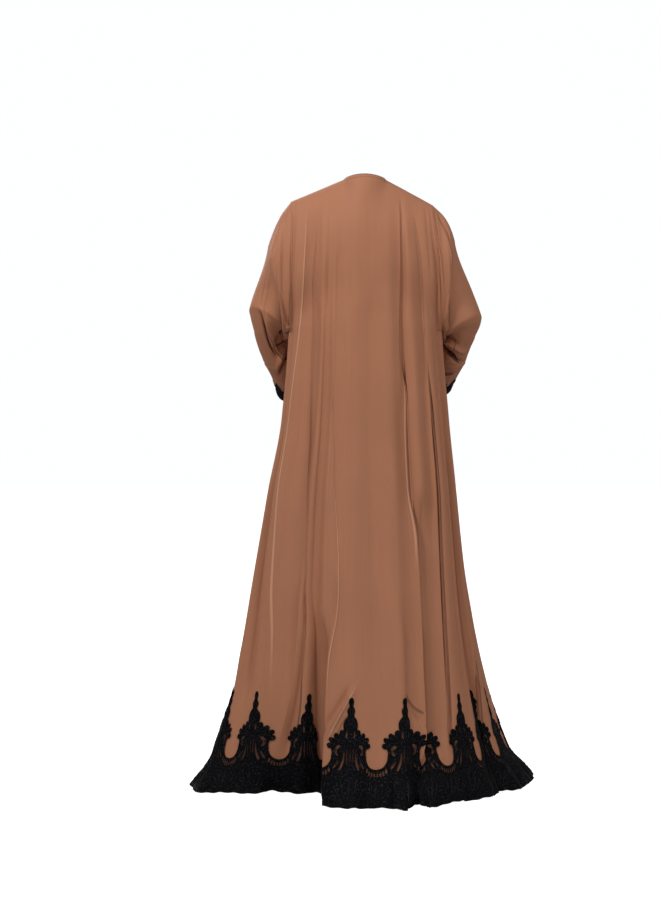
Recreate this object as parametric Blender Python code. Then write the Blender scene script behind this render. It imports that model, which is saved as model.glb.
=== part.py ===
"""Abaya in its worn form: a plain flared back with a short train, two lapped fronts, two dropped-shoulder
sleeves bent forward, and a black lace border with spires round the hem and at the cuffs.

Metres, +Z up. The fronts face -Y, the back faces +Y and the wearer's left is +X. The origin lies between the
neck ends of the two shoulder seams, where the shoulders carry the garment.

Every wall is worked out from two tables. SECTIONS gives the size of the body at each height, and FOLDS gives
each fold's place round the body and on the floor. Lace is cut from a flat pattern and laid on the wall.
"""

import math
from collections import namedtuple

import bpy
from mathutils import Vector
from mathutils.geometry import delaunay_2d_cdt

# Driving dimensions. Heights are above the floor, where the hem lies. CAP_START is the share of the armhole
# above which the body rounds over to the shoulder seam.
SHOULDER_HEIGHT = 1.587
CLOTH = 0.0015
SEAM_GAP = 0.0003
LACE_CLEARANCE = 0.0005
LACE_THICKNESS = 0.0012
LACE_HEM_LIFT = 0.003

UNDERARM_HEIGHT = 1.190
ARMHOLE_HALF_DEPTH = 0.078
ARMHOLE_STEPS = 10
CAP_START = 0.55
UNDERARM_SHARPNESS = 3.0

NECK_HALF_WIDTH = 0.055
NAPE_RISE = 0.014
NAPE_DEPTH = 0.055
FRONT_NECK_DROP = 0.075
FRONT_NECK_DEPTH = 0.085
LEFT_SHOULDER_TIP = 1.530
RIGHT_SHOULDER_TIP = 1.521

# The hem is measured in lace repeats, counted from the left side seam along the back and on round the front.
# The steps are those between the walls' columns.
REPEAT = 0.148
RIGHT_SEAM = 12.0
CENTRE_FRONT = 16.0
LEFT_SEAM_AGAIN = 20.0
LAP = 0.25
COARSE_STEP = 0.5
FINE_STEP = 0.25
LAP_STEP = 0.125
NECK_COLUMNS = (5.0, 6.5)
LACE_ZONE_HEIGHTS = (0.0, 0.090, 0.285)
SKIRT_HEIGHTS = (0.36, 0.45, 0.55, 0.65, 0.75, 0.85, 0.95, 1.04, 1.12, UNDERARM_HEIGHT)

# Half widths to the left and right, depths to the back and front. "hem" is how much of the floor outline
# shows at that height, and "folds" is how much of each fold's own lift does.
Section = namedtuple("Section", "height left right back front hem folds")
SECTIONS = (
    Section(0.00, 0.340, 0.290, 0.215, 0.250, 1.00, 0.00),
    Section(0.09, 0.331, 0.271, 0.205, 0.232, 0.62, 0.40),
    Section(0.28, 0.292, 0.258, 0.182, 0.198, 0.30, 0.85),
    Section(0.50, 0.276, 0.246, 0.160, 0.172, 0.12, 1.00),
    Section(0.75, 0.247, 0.236, 0.140, 0.150, 0.03, 1.00),
    Section(0.96, 0.213, 0.220, 0.128, 0.138, 0.00, 0.80),
    Section(1.19, 0.196, 0.202, 0.120, 0.132, 0.00, 0.55),
    Section(1.36, 0.192, 0.194, 0.114, 0.122, 0.00, 0.40),
    Section(1.45, 0.190, 0.184, 0.108, 0.112, 0.00, 0.22),
    Section(1.53, 0.190, 0.178, 0.100, 0.100, 0.00, 0.10),
    Section(1.62, 0.190, 0.178, 0.100, 0.100, 0.00, 0.00),
)

# One row for each ridge, groove or seam. "at" is its place on the hem in lace repeats, "turn" its place round
# the chest in degrees (90 at the left side seam, 0 at the back, -90 at the right one, -180 at the front),
# "lift" its height over the smooth body, and x and y its place on the floor.
Fold = namedtuple("Fold", "name at turn lift x y")
FOLDS = (
    Fold("left side seam", 0.0, 90.0, 0.000, 0.430, -0.100),
    Fold("left side flare", 0.5, 86.0, 0.003, 0.447, -0.032),
    Fold("left side hollow", 1.0, 82.0, 0.000, 0.449, 0.035),
    Fold("left edge", 1.5, 78.0, 0.005, 0.430, 0.098),
    Fold("left edge hollow", 2.0, 73.0, -0.003, 0.372, 0.112),
    Fold("left long ridge", 2.5, 66.0, 0.010, 0.302, 0.118),
    Fold("left long groove", 3.0, 41.0, -0.014, 0.232, 0.092),
    Fold("left back ridge", 3.5, 33.0, 0.007, 0.162, 0.122),
    Fold("train tuck", 4.0, 28.0, -0.004, 0.106, 0.126),
    Fold("train wall", 4.5, 23.0, 0.010, 0.096, 0.200),
    Fold("train left edge", 5.0, 16.8, 0.004, 0.110, 0.272),
    Fold("train left", 5.5, 6.0, 0.003, 0.046, 0.328),
    Fold("train hollow", 6.0, -5.0, -0.002, -0.021, 0.316),
    Fold("train right", 6.5, -18.0, 0.006, -0.088, 0.345),
    Fold("right sharp groove", 7.0, -29.0, -0.018, -0.128, 0.276),
    Fold("right sharp ridge", 7.5, -37.0, 0.009, -0.160, 0.306),
    Fold("right back hollow", 8.0, -47.0, -0.003, -0.214, 0.250),
    Fold("right back ridge", 8.5, -57.0, 0.006, -0.270, 0.208),
    Fold("right back slope", 9.0, -66.0, 0.002, -0.325, 0.160),
    Fold("right edge groove", 9.5, -72.0, -0.009, -0.347, 0.094),
    Fold("right edge ridge", 10.0, -77.0, 0.005, -0.398, 0.058),
    Fold("right side slope", 10.5, -81.0, 0.000, -0.430, -0.010),
    Fold("right side flare", 11.0, -84.0, 0.003, -0.448, -0.080),
    Fold("right side hollow", 11.5, -87.0, 0.000, -0.459, -0.150),
    Fold("right side seam", 12.0, -90.0, 0.000, -0.452, -0.222),
    Fold("right front flare", 12.5, -95.0, 0.004, -0.418, -0.288),
    Fold("right front turn", 13.0, -101.0, 0.006, -0.352, -0.314),
    Fold("right front outer groove", 13.5, -109.0, -0.010, -0.300, -0.268),
    Fold("right front slope", 14.0, -119.0, 0.003, -0.250, -0.318),
    Fold("right front ridge", 14.5, -132.0, 0.008, -0.185, -0.354),
    Fold("right front inner groove", 15.0, -147.0, -0.008, -0.128, -0.316),
    Fold("right neck line", 15.5, -162.0, 0.004, -0.070, -0.364),
    Fold("centre front", 16.0, -180.0, 0.003, 0.000, -0.382),
    Fold("left neck line", 16.5, -196.8, -0.003, 0.070, -0.352),
    Fold("left front ridge", 17.0, -212.0, 0.008, 0.130, -0.380),
    Fold("left front slope", 17.5, -227.0, 0.002, 0.192, -0.340),
    Fold("left front groove", 18.0, -240.0, -0.009, 0.246, -0.290),
    Fold("left front outer ridge", 18.5, -250.0, 0.006, 0.316, -0.286),
    Fold("left front turn", 19.0, -258.0, 0.000, 0.366, -0.236),
    Fold("left front flare", 19.5, -264.0, 0.003, 0.404, -0.172),
)

# Each sleeve is a tube of rings. A ring lies between its outer point, on the line from the shoulder over the
# elbow to the low edge of the cuff, and its inner point, on the line from the underarm through the bend of
# the elbow to the high edge of the cuff. Back and front are its half depths across that line, and the back
# one is less where the sleeve is pressed against the body. X counts outwards.
Ring = namedtuple("Ring", "name out_x out_y out_z in_x in_y in_z back front")
LEFT_RINGS = (
    Ring("cap", 0.217, 0.004, 1.493, 0.206, -0.008, 1.186, 0.081, 0.081),
    Ring("upper", 0.242, 0.008, 1.438, 0.212, -0.018, 1.182, 0.079, 0.079),
    Ring("middle", 0.262, 0.014, 1.366, 0.217, -0.030, 1.178, 0.072, 0.075),
    Ring("low", 0.277, 0.022, 1.300, 0.220, -0.043, 1.174, 0.065, 0.068),
    Ring("elbow", 0.281, 0.030, 1.246, 0.220, -0.060, 1.173, 0.053, 0.058),
    Ring("under elbow", 0.270, 0.018, 1.190, 0.213, -0.088, 1.176, 0.036, 0.054),
    Ring("forearm", 0.256, -0.015, 1.140, 0.198, -0.122, 1.182, 0.034, 0.053),
    Ring("low forearm", 0.238, -0.058, 1.094, 0.172, -0.158, 1.185, 0.046, 0.053),
    Ring("lace edge", 0.224, -0.102, 1.052, 0.152, -0.196, 1.184, 0.054, 0.056),
    Ring("cuff", 0.212, -0.148, 1.008, 0.131, -0.242, 1.180, 0.060, 0.060),
)
RIGHT_RINGS = (
    Ring("cap", 0.207, 0.004, 1.492, 0.210, -0.008, 1.186, 0.081, 0.081),
    Ring("upper", 0.229, 0.008, 1.450, 0.216, -0.018, 1.181, 0.079, 0.079),
    Ring("middle", 0.249, 0.014, 1.382, 0.221, -0.030, 1.176, 0.072, 0.075),
    Ring("low", 0.274, 0.022, 1.302, 0.225, -0.043, 1.171, 0.065, 0.067),
    Ring("elbow", 0.289, 0.030, 1.222, 0.227, -0.060, 1.169, 0.050, 0.058),
    Ring("under elbow", 0.272, 0.016, 1.178, 0.220, -0.088, 1.172, 0.034, 0.054),
    Ring("forearm", 0.257, -0.018, 1.138, 0.206, -0.122, 1.177, 0.034, 0.053),
    Ring("low forearm", 0.246, -0.060, 1.096, 0.180, -0.158, 1.181, 0.046, 0.053),
    Ring("lace edge", 0.236, -0.102, 1.062, 0.160, -0.196, 1.180, 0.054, 0.056),
    Ring("cuff", 0.220, -0.148, 1.024, 0.137, -0.242, 1.178, 0.060, 0.060),
)

# A sleeve fold runs from one ring and angle to another. Angles are in degrees from the outer line, to the
# front when positive and to the back when negative.
Crease = namedtuple("Crease", "name ring_a angle_a ring_b angle_b width lift")
SLEEVE_CREASES = (
    Crease("shoulder hang", 0.5, -70.0, 3.5, -45.0, 26.0, 0.006),
    Crease("armhole hollow", 0.6, -115.0, 3.6, -120.0, 28.0, -0.007),
    Crease("elbow back", 3.0, -60.0, 5.2, -150.0, 26.0, -0.008),
    Crease("elbow ridge", 4.2, -40.0, 7.4, -70.0, 26.0, 0.007),
    Crease("elbow front", 2.6, 60.0, 5.0, 140.0, 28.0, -0.007),
    Crease("forearm hang", 6.0, 50.0, 9.6, 35.0, 30.0, 0.006),
)

# The lace pattern, in millimetres from the middle of a repeat and up from the hem. Each outline row is a
# point of the right half, from the valley to the tip of the spire, and each hole is drawn once and mirrored.
Mark = namedtuple("Mark", "across up")
HEM_OUTLINE = (
    Mark(74.0, 90.0),
    Mark(57.0, 102.0),
    Mark(47.0, 124.0),
    Mark(52.0, 148.0),
    Mark(44.0, 170.0),
    Mark(25.0, 176.0),
    Mark(20.0, 206.0),
    Mark(9.0, 226.0),
    Mark(6.5, 248.0),
    Mark(0.0, 270.0),
)
HEM_HOLES = {
    "scroll": (Mark(22.0, 141.0), Mark(29.0, 134.0), Mark(35.0, 145.0), Mark(32.0, 160.0), Mark(24.0, 157.0)),
    "spire slot": (Mark(4.0, 140.0), Mark(12.0, 138.0), Mark(13.0, 170.0), Mark(7.5, 200.0), Mark(4.0, 176.0)),
    "leaf slot": (Mark(6.0, 110.0), Mark(22.0, 103.0), Mark(34.0, 108.0), Mark(27.0, 122.0), Mark(10.0, 124.0)),
    "inner band": (Mark(9.0, 70.0), Mark(28.0, 70.0), Mark(26.0, 82.0), Mark(11.0, 82.0)),
    "outer band": (Mark(46.0, 70.0), Mark(65.0, 70.0), Mark(63.0, 82.0), Mark(48.0, 82.0)),
}
CUFF_REPEATS = 10
CUFF_OUTLINE = (Mark(30.0, 40.0), Mark(20.0, 46.0), Mark(12.0, 54.0), Mark(0.0, 68.0))
CUFF_HOLES = {
    "scroll": (Mark(4.0, 33.0), Mark(14.0, 30.0), Mark(15.0, 38.0), Mark(5.0, 48.0)),
}
CUFF_REPEAT = 0.060
CUFF_UPS = (0.0, 0.070)

CLOTH_COLOUR = (0.370, 0.150, 0.092, 1.0)
CLOTH_ROUGHNESS = 0.8
LACE_COLOUR = (0.008, 0.007, 0.009, 1.0)
LACE_ROUGHNESS = 0.9
SHARP_ANGLE = 50.0
TOUCHING = 1e-9
ON_EDGE = 1e-5
SAME_SPOT = 1e-6
CREASE_FADE = 0.1

Point = namedtuple("Point", "along up place outward")


def remove_start_objects():
    """Empty the scene that Blender starts with."""
    for item in list(bpy.data.objects):
        bpy.data.objects.remove(item, do_unlink=True)


def cloth_material(name, colour, roughness):
    """Return a plain material of its own for one piece."""
    material = bpy.data.materials.new(name)
    material.use_nodes = True
    shader = material.node_tree.nodes["Principled BSDF"]
    shader.inputs["Base Color"].default_value = colour
    shader.inputs["Roughness"].default_value = roughness
    shader.inputs["Metallic"].default_value = 0.0
    material.diffuse_color = colour
    return material


def steady_slopes(places, values):
    """Slopes for a curve that rounds each peak on its own row and never swings past a value."""
    steps = [(values[i + 1] - values[i]) / (places[i + 1] - places[i]) for i in range(len(places) - 1)]
    slopes = [steps[0]]
    for before, after in zip(steps, steps[1:]):
        slopes.append(2 * before * after / (before + after) if before * after > 0 else 0.0)
    slopes.append(steps[-1])
    return slopes


class Curve:
    """A smooth curve through the values of one column of a table."""

    def __init__(self, places, values):
        self.places = list(places)
        self.values = list(values)
        self.slopes = steady_slopes(self.places, self.values)

    def __call__(self, place):
        last = len(self.places) - 2
        index = next((i for i in range(last + 1) if place <= self.places[i + 1]), last)
        width = self.places[index + 1] - self.places[index]
        share = min(max((place - self.places[index]) / width, 0.0), 1.0)
        square = share * share
        cube = square * share
        return (
            (2 * cube - 3 * square + 1) * self.values[index]
            + (cube - 2 * square + share) * width * self.slopes[index]
            + (3 * square - 2 * cube) * self.values[index + 1]
            + (cube - square) * width * self.slopes[index + 1]
        )


def section_curves():
    """One curve over the height for each column of SECTIONS."""
    heights = [row.height for row in SECTIONS]
    names = Section._fields[1:]
    return {name: Curve(heights, [getattr(row, name) for row in SECTIONS]) for name in names}


def fold_curves():
    """One curve round the hem for each column of FOLDS, joined up at the left side seam."""
    closing = FOLDS[0]._replace(at=LEFT_SEAM_AGAIN, turn=FOLDS[0].turn - 360.0)
    after = FOLDS[1]._replace(at=FOLDS[1].at + LEFT_SEAM_AGAIN, turn=FOLDS[1].turn - 360.0)
    before = FOLDS[-1]._replace(at=FOLDS[-1].at - LEFT_SEAM_AGAIN, turn=FOLDS[-1].turn + 360.0)
    rows = (before, *FOLDS, closing, after)
    places = [row.at for row in rows]
    return {name: Curve(places, [getattr(row, name) for row in rows]) for name in Fold._fields[2:]}


SIZE = section_curves()
ROUND = fold_curves()


def top_edge(sine, side):
    """Height and depth of a panel's top edge: a shoulder seam at the sides, the neckline in the middle."""
    tip = LEFT_SHOULDER_TIP if sine > 0 else RIGHT_SHOULDER_TIP
    half_width = SIZE["left"](tip) if sine > 0 else SIZE["right"](tip)
    out = abs(sine) * half_width
    if out >= NECK_HALF_WIDTH:
        share = (out - NECK_HALF_WIDTH) / (half_width - NECK_HALF_WIDTH)
        return SHOULDER_HEIGHT + share * (tip - SHOULDER_HEIGHT), 0.0
    inside = 1 - (out / NECK_HALF_WIDTH) ** 2
    if side > 0:
        return SHOULDER_HEIGHT + NAPE_RISE * inside, NAPE_DEPTH * math.sqrt(inside)
    return SHOULDER_HEIGHT - FRONT_NECK_DROP * inside, FRONT_NECK_DEPTH * math.sqrt(inside)


def body_place(at, height, share, side):
    """A point of the body's outer face. Share runs from 0 at the underarm to 1 at the panel's top edge, and
    side is 1 on the back and -1 on the fronts."""
    turn = math.radians(ROUND["turn"](at))
    sine, cosine = math.sin(turn), abs(math.cos(turn))
    edge = bend = 0.0
    cap = 1.0
    top_depth = 0.0
    if share > 0:
        top, top_depth = top_edge(sine, side)
        height = UNDERARM_HEIGHT + share * (top - UNDERARM_HEIGHT)
        bend = math.sqrt(max(1 - (2 * share - 1) ** 2, 0.0))
        edge = ARMHOLE_HALF_DEPTH * bend
        cap = math.sqrt(max(1 - (max(share - CAP_START, 0.0) / (1 - CAP_START)) ** 2, 0.0))
    middle = (SIZE["left"](height) + SIZE["right"](height)) / 2
    lean = (SIZE["left"](height) - SIZE["right"](height)) / 2
    half_width = middle + lean * sine
    depth = SIZE["back"](height) if side > 0 else SIZE["front"](height)
    full = top_depth + (depth - top_depth) * cap
    x = half_width * sine
    roundness = cosine ** (1 + bend ** 4)
    sharpness = 1 + (UNDERARM_SHARPNESS * (1 - bend) if share < 0.5 else 0)
    y = full * roundness + edge * (1 - roundness) ** sharpness
    sideways = 0.0 if share > 0 else 1.0
    slant = Vector((sideways * sine / half_width, cosine / depth)).normalized()
    lift = ROUND["lift"](at) * SIZE["folds"](height)
    x += slant.x * lift
    y += slant.y * lift * cap
    floor_share = SIZE["hem"](height)
    x += (ROUND["x"](at) - x) * floor_share
    y = side * y
    y += (ROUND["y"](at) - y) * floor_share
    return Vector((x, y, height - SHOULDER_HEIGHT))


def body_point(at, height, share, side, low, high):
    """A point of a panel that runs from low to high round the hem, with its outward direction."""
    step = 0.01
    rise = 0.002
    place = body_place(at, height, share, side)
    left, right = max(at - step, low), min(at + step, high)
    across = body_place(right, height, share, side) - body_place(left, height, share, side)
    if share > 0:
        upward = body_place(at, height, min(share + rise, 1.0), side) - body_place(at, height, share - rise / 2, side)
    else:
        upward = body_place(at, height + rise, 0.0, side) - body_place(at, max(height - rise, 0.0), 0.0, side)
    outward = across.cross(upward).normalized()
    if share > 0 and at in (0.0, RIGHT_SEAM, LEFT_SEAM_AGAIN):
        outward.x *= 1 - math.sqrt(max(1 - (2 * share - 1) ** 2, 0.0))
    return Point(at * REPEAT, height, place, outward.normalized())


def drawn_in(point, other):
    """A point of a cut edge, moved half a seam gap towards its neighbour."""
    return point._replace(place=point.place + (other.place - point.place).normalized() * SEAM_GAP / 2)


def pull_in(rows):
    """Draw a panel's sides and top edge in, so that its neighbours stand clear."""
    for row in rows:
        row[0], row[-1] = drawn_in(row[0], row[1]), drawn_in(row[-1], row[-2])
    rows[-1] = [drawn_in(point, under) for point, under in zip(rows[-1], rows[-2])]


def armhole_shares():
    """Shares of the armhole's height, closer together at its top and bottom."""
    return [(1 - math.cos(math.pi * i / ARMHOLE_STEPS)) / 2 for i in range(1, ARMHOLE_STEPS + 1)]


def panel_rows(fine, coarse, side):
    """Rows of a panel from the hem to the top edge: fine columns under the lace, coarse ones above."""
    rows = [[body_point(at, height, 0.0, side, fine[0], fine[-1]) for at in fine] for height in LACE_ZONE_HEIGHTS]
    rows += [[body_point(at, height, 0.0, side, coarse[0], coarse[-1]) for at in coarse] for height in SKIRT_HEIGHTS]
    rows += [
        [body_point(at, 0.0, share, side, coarse[0], coarse[-1]) for at in coarse] for share in armhole_shares()
    ]
    return rows


def span(first, last, step):
    """Places from first to last, a step apart."""
    return [first + step * i for i in range(round((last - first) / step) + 1)]


def back_rows():
    """The back, from the left side seam to the right one, with finer columns up to the neckline."""
    first, last = NECK_COLUMNS
    coarse = span(0.0, first - COARSE_STEP, COARSE_STEP) + span(first, last, FINE_STEP)
    coarse += span(last + COARSE_STEP, RIGHT_SEAM, COARSE_STEP)
    rows = panel_rows(span(0.0, RIGHT_SEAM, FINE_STEP), coarse, 1)
    pull_in(rows)
    return rows


def front_left_rows():
    """The left front, which lies under the right one at the centre."""
    fine = span(CENTRE_FRONT - LAP, LEFT_SEAM_AGAIN, FINE_STEP)
    coarse = span(CENTRE_FRONT - LAP, CENTRE_FRONT + LAP, LAP_STEP)
    coarse += span(CENTRE_FRONT + COARSE_STEP, LEFT_SEAM_AGAIN, COARSE_STEP)
    rows = panel_rows(fine, coarse, -1)
    pull_in(rows)
    return rows


def front_right_rows():
    """The right front, lifted off the left one where the two lap."""
    fine = span(RIGHT_SEAM, CENTRE_FRONT + LAP, FINE_STEP)
    coarse = span(RIGHT_SEAM, CENTRE_FRONT - COARSE_STEP, COARSE_STEP)
    coarse += span(CENTRE_FRONT - LAP, CENTRE_FRONT + LAP, LAP_STEP)
    rows = panel_rows(fine, coarse, -1)
    lifted = CLOTH + LACE_CLEARANCE
    start = (CENTRE_FRONT - COARSE_STEP) * REPEAT
    rows = [
        [p._replace(place=p.place + p.outward * (lifted if p.along >= start else 0.0)) for p in row] for row in rows
    ]
    pull_in(rows)
    return rows


def mesh_object(name, places, faces, colour, roughness):
    """Make one named object with its own material from points and faces."""
    mesh = bpy.data.meshes.new(name)
    mesh.from_pydata([tuple(place) for place in places], [], faces)
    mesh.update()
    mesh.shade_smooth()
    mesh.set_sharp_from_angle(angle=math.radians(SHARP_ANGLE))
    mesh.materials.append(cloth_material(name + "_cloth", colour, roughness))
    made = bpy.data.objects.new(name, mesh)
    bpy.context.scene.collection.objects.link(made)
    return made


def shell(name, outer, inner, triangles, colour, roughness):
    """Close an outer and an inner skin of the same triangles into one wall."""
    count = len(outer)
    edges = {(a, b) for tri in triangles for a, b in zip(tri, tri[1:] + tri[:1])}
    faces = list(triangles)
    faces += [tuple(count + i for i in reversed(tri)) for tri in triangles]
    for a, b in sorted(edges):
        if (b, a) not in edges:
            faces.append((b, a, count + a))
            faces.append((b, count + a, count + b))
    return mesh_object(name, list(outer) + list(inner), faces, colour, roughness)


def strip_triangles(rows, closed):
    """Triangles between neighbouring rows, which may have different numbers of points."""
    starts = [0]
    for row in rows:
        starts.append(starts[-1] + len(row) - (1 if closed else 0))

    def number(row, column):
        return starts[row] + (column % (len(rows[row]) - 1) if closed else column)

    triangles = []
    for low in range(len(rows) - 1):
        under, over = rows[low], rows[low + 1]
        i = j = 0
        while i < len(under) - 1 or j < len(over) - 1:
            next_under = under[i + 1].along if i < len(under) - 1 else math.inf
            next_over = over[j + 1].along if j < len(over) - 1 else math.inf
            if next_under <= next_over + TOUCHING:
                triangles.append((number(low, i), number(low, i + 1), number(low + 1, j)))
                i += 1
            else:
                triangles.append((number(low, i), number(low + 1, j + 1), number(low + 1, j)))
                j += 1
    return triangles


def wall(name, rows, closed=False):
    """A cloth wall whose outer face runs through the rows."""
    points = [p for row in rows for p in (row[:-1] if closed else row)]
    outer = [p.place for p in points]
    inner = [p.place - p.outward * CLOTH for p in points]
    return shell(name, outer, inner, strip_triangles(rows, closed), CLOTH_COLOUR, CLOTH_ROUGHNESS)


def lace_outline(half, middle):
    """The top edge of one repeat, from its left valley to just before its right one."""
    left = [(middle - mark.across / 1000, mark.up / 1000) for mark in half]
    right = [(middle + mark.across / 1000, mark.up / 1000) for mark in reversed(half[1:-1])]
    return left + right


def lace_holes(holes, middle):
    """Both mirrored copies of each hole of one repeat."""
    for marks in holes.values():
        yield [(middle + mark.across / 1000, mark.up / 1000) for mark in marks]
        yield [(middle - mark.across / 1000, mark.up / 1000) for mark in reversed(marks)]


def inside(x, y, outline):
    """Whether a point lies inside a closed outline."""
    within = False
    for (x1, y1), (x2, y2) in zip(outline, outline[1:] + outline[:1]):
        if (y1 > y) != (y2 > y) and x < x1 + (y - y1) * (x2 - x1) / (y2 - y1):
            within = not within
    return within


def spot_on(corners, x, y):
    """Shares of a triangle's corners at a point of the flat pattern, or None outside it."""
    (x1, y1), (x2, y2), (x3, y3) = ((c.along, c.up) for c in corners)
    whole = (y2 - y3) * (x1 - x3) + (x3 - x2) * (y1 - y3)
    first = ((y2 - y3) * (x - x3) + (x3 - x2) * (y - y3)) / whole
    second = ((y3 - y1) * (x - x3) + (x1 - x3) * (y - y3)) / whole
    shares = (first, second, 1 - first - second)
    return shares if min(shares) > -ON_EDGE else None


def lay_lace(name, rows, first, last, lift, edge, holes):
    """Cut lace from its flat pattern and lay it on a wall, along from first to last, clear of the wall's own
    facets because it is cut along each of their edges."""
    edge, holes = clip_pattern(edge, holes, first, last)
    points = [p for row in rows for p in row]
    facets = [tuple(points[i] for i in tri) for tri in strip_triangles(rows, False)]
    outline = [(first, lift)] + edge + [(last, lift)]
    flat, edges = [], []

    def add_loop(loop):
        start = len(flat)
        flat.extend(Vector(spot) for spot in loop)
        edges.extend((start + i, start + (i + 1) % len(loop)) for i in range(len(loop)))

    add_loop(outline)
    for hole in holes:
        add_loop(hole)
    for facet in facets:
        add_loop([(c.along, c.up) for c in facet])
    spots, _, cut_faces, *_ = delaunay_2d_cdt(flat, edges, [], 0, SAME_SPOT)
    kept = []
    for face in cut_faces:
        x = sum(spots[i].x for i in face) / 3
        y = sum(spots[i].y for i in face) / 3
        if inside(x, y, outline) and not any(inside(x, y, hole) for hole in holes):
            kept.append(tuple(face))
    used = sorted({i for face in kept for i in face})
    renumbered = {old: new for new, old in enumerate(used)}
    under, over = [], []
    for index in used:
        x, y = spots[index]
        corners, shares = next((f, s) for f in facets if (s := spot_on(f, x, y)))
        place = sum((c.place * s for c, s in zip(corners, shares)), Vector())
        outward = sum((c.outward * s for c, s in zip(corners, shares)), Vector())
        under.append(place + outward * LACE_CLEARANCE)
        over.append(place + outward * (LACE_CLEARANCE + LACE_THICKNESS))
    triangles = [tuple(renumbered[i] for i in face) for face in kept]
    return shell(name, over, under, triangles, LACE_COLOUR, LACE_ROUGHNESS)


def hem_lace(name, rows, first, last):
    """The hem border of one panel, from first to last in repeats."""
    edge, holes = [], []
    for repeat in range(math.floor(first), math.ceil(last)):
        middle = (repeat + 0.5) * REPEAT
        edge += lace_outline(HEM_OUTLINE, middle)
        holes += lace_holes(HEM_HOLES, middle)
    edge.append((math.ceil(last) * REPEAT, HEM_OUTLINE[0].up / 1000))
    zone = rows[: len(LACE_ZONE_HEIGHTS)]
    return lay_lace(name, zone, first * REPEAT, last * REPEAT, LACE_HEM_LIFT, edge, holes)


def clip_pattern(edge, holes, first, last):
    """Cut a pattern off at two upright lines, leaving out any hole that a line would cross."""
    kept = []
    for (x1, y1), (x2, y2) in zip(edge, edge[1:]):
        if first - TOUCHING <= x1 <= last + TOUCHING:
            kept.append((x1, y1))
        for line in (first, last):
            if min(x1, x2) < line - TOUCHING and line + TOUCHING < max(x1, x2):
                kept.append((line, y1 + (line - x1) * (y2 - y1) / (x2 - x1)))
    if first - TOUCHING <= edge[-1][0] <= last + TOUCHING:
        kept.append(edge[-1])
    margin = 0.002
    whole = [h for h in holes if first + margin < min(x for x, _ in h) and max(x for x, _ in h) < last - margin]
    return kept, whole


def sleeve_lift(ring, degrees):
    """How far the creases move a point of one ring in or out."""
    total = 0.0
    for crease in SLEEVE_CREASES:
        if not crease.ring_a <= ring <= crease.ring_b:
            continue
        share = (ring - crease.ring_a) / (crease.ring_b - crease.ring_a)
        middle = crease.angle_a + share * (crease.angle_b - crease.angle_a)
        off = ((degrees - middle + 180) % 360 - 180) / crease.width
        total += crease.lift * math.exp(-off * off) * math.sin(math.pi * min(max(share, CREASE_FADE), 1 - CREASE_FADE))
    return total


def armhole_ring(at_seam, flip):
    """The body's own armhole edge, from the shoulder tip down the back and up the front, one gap out."""
    shares = [0.0] + armhole_shares()
    back = [body_place(at_seam, UNDERARM_HEIGHT, share, 1) for share in reversed(shares)]
    front = [body_place(at_seam, UNDERARM_HEIGHT, share, -1) for share in shares[1:]]
    return [place + Vector((flip * SEAM_GAP, 0.0, 0.0)) for place in back + front]


def sleeve_rings(table, at_seam, flip):
    """Closed rings of a sleeve from the armhole to the cuff, each from its outer point round by the back."""
    armhole = armhole_ring(at_seam, flip)
    middles = [Vector((abs(armhole[0].x), 0.0, (armhole[0].z + armhole[ARMHOLE_STEPS].z) / 2 + SHOULDER_HEIGHT))]
    middles += [Vector((row.out_x + row.in_x, row.out_y + row.in_y, row.out_z + row.in_z)) / 2 for row in table]
    rings = [armhole]
    for index, row in enumerate(table, start=1):
        across = Vector((row.out_x - row.in_x, row.out_y - row.in_y, row.out_z - row.in_z)) / 2
        path = middles[min(index + 1, len(table))] - middles[index - 1]
        backward = across.cross(path).normalized()
        ring = []
        for step in range(2 * ARMHOLE_STEPS + 1):
            angle = math.pi * step / ARMHOLE_STEPS
            depth = row.back if step < ARMHOLE_STEPS else row.front
            spoke = across * math.cos(angle) + backward * depth * math.sin(angle)
            spoke *= 1 + sleeve_lift(index, -math.degrees(angle)) / spoke.length
            place = middles[index] + spoke
            ring.append(Vector((flip * place.x, place.y, place.z - SHOULDER_HEIGHT)))
        rings.append(ring)
    return rings


def sleeve_rows(table, at_seam, flip):
    """The rings as rows of points, counted round the tube, with outward directions."""
    rings = sleeve_rings(table, at_seam, flip)
    if flip > 0:
        rings = [ring[::-1] for ring in rings]
    count = len(rings[0]) - 1
    rows = []
    for index, ring in enumerate(rings):
        before, after = rings[max(index - 1, 0)], rings[min(index + 1, len(rings) - 1)]
        row = []
        for spot in range(count + 1):
            around = ring[(spot + 1) % count] - ring[(spot - 1) % count]
            outward = around.cross(after[spot] - before[spot])
            if index == 0:
                outward.x = 0.0
            outward.normalize()
            row.append(Point(spot * CUFF_REPEAT / 2, 0.0, ring[spot], outward))
        rows.append(row)
    return rows


def cuff_lace(name, rows, first, last):
    """One half of a cuff's lace, from first to last in its own repeats, counted up from the cuff."""
    zone = []
    for up, row in zip(CUFF_UPS, reversed(rows)):
        length = row[-1].along
        zone.append([point._replace(along=length - point.along, up=up) for point in reversed(row)])
    edge, holes = [], []
    for repeat in range(first, last):
        middle = (repeat + 0.5) * CUFF_REPEAT
        edge += lace_outline(CUFF_OUTLINE, middle)
        holes += lace_holes(CUFF_HOLES, middle)
    edge.append((last * CUFF_REPEAT, CUFF_OUTLINE[0].up / 1000))
    low, high = first * CUFF_REPEAT + SEAM_GAP, last * CUFF_REPEAT - SEAM_GAP
    return lay_lace(name, zone, low, high, 0.0, edge, holes)


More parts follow.
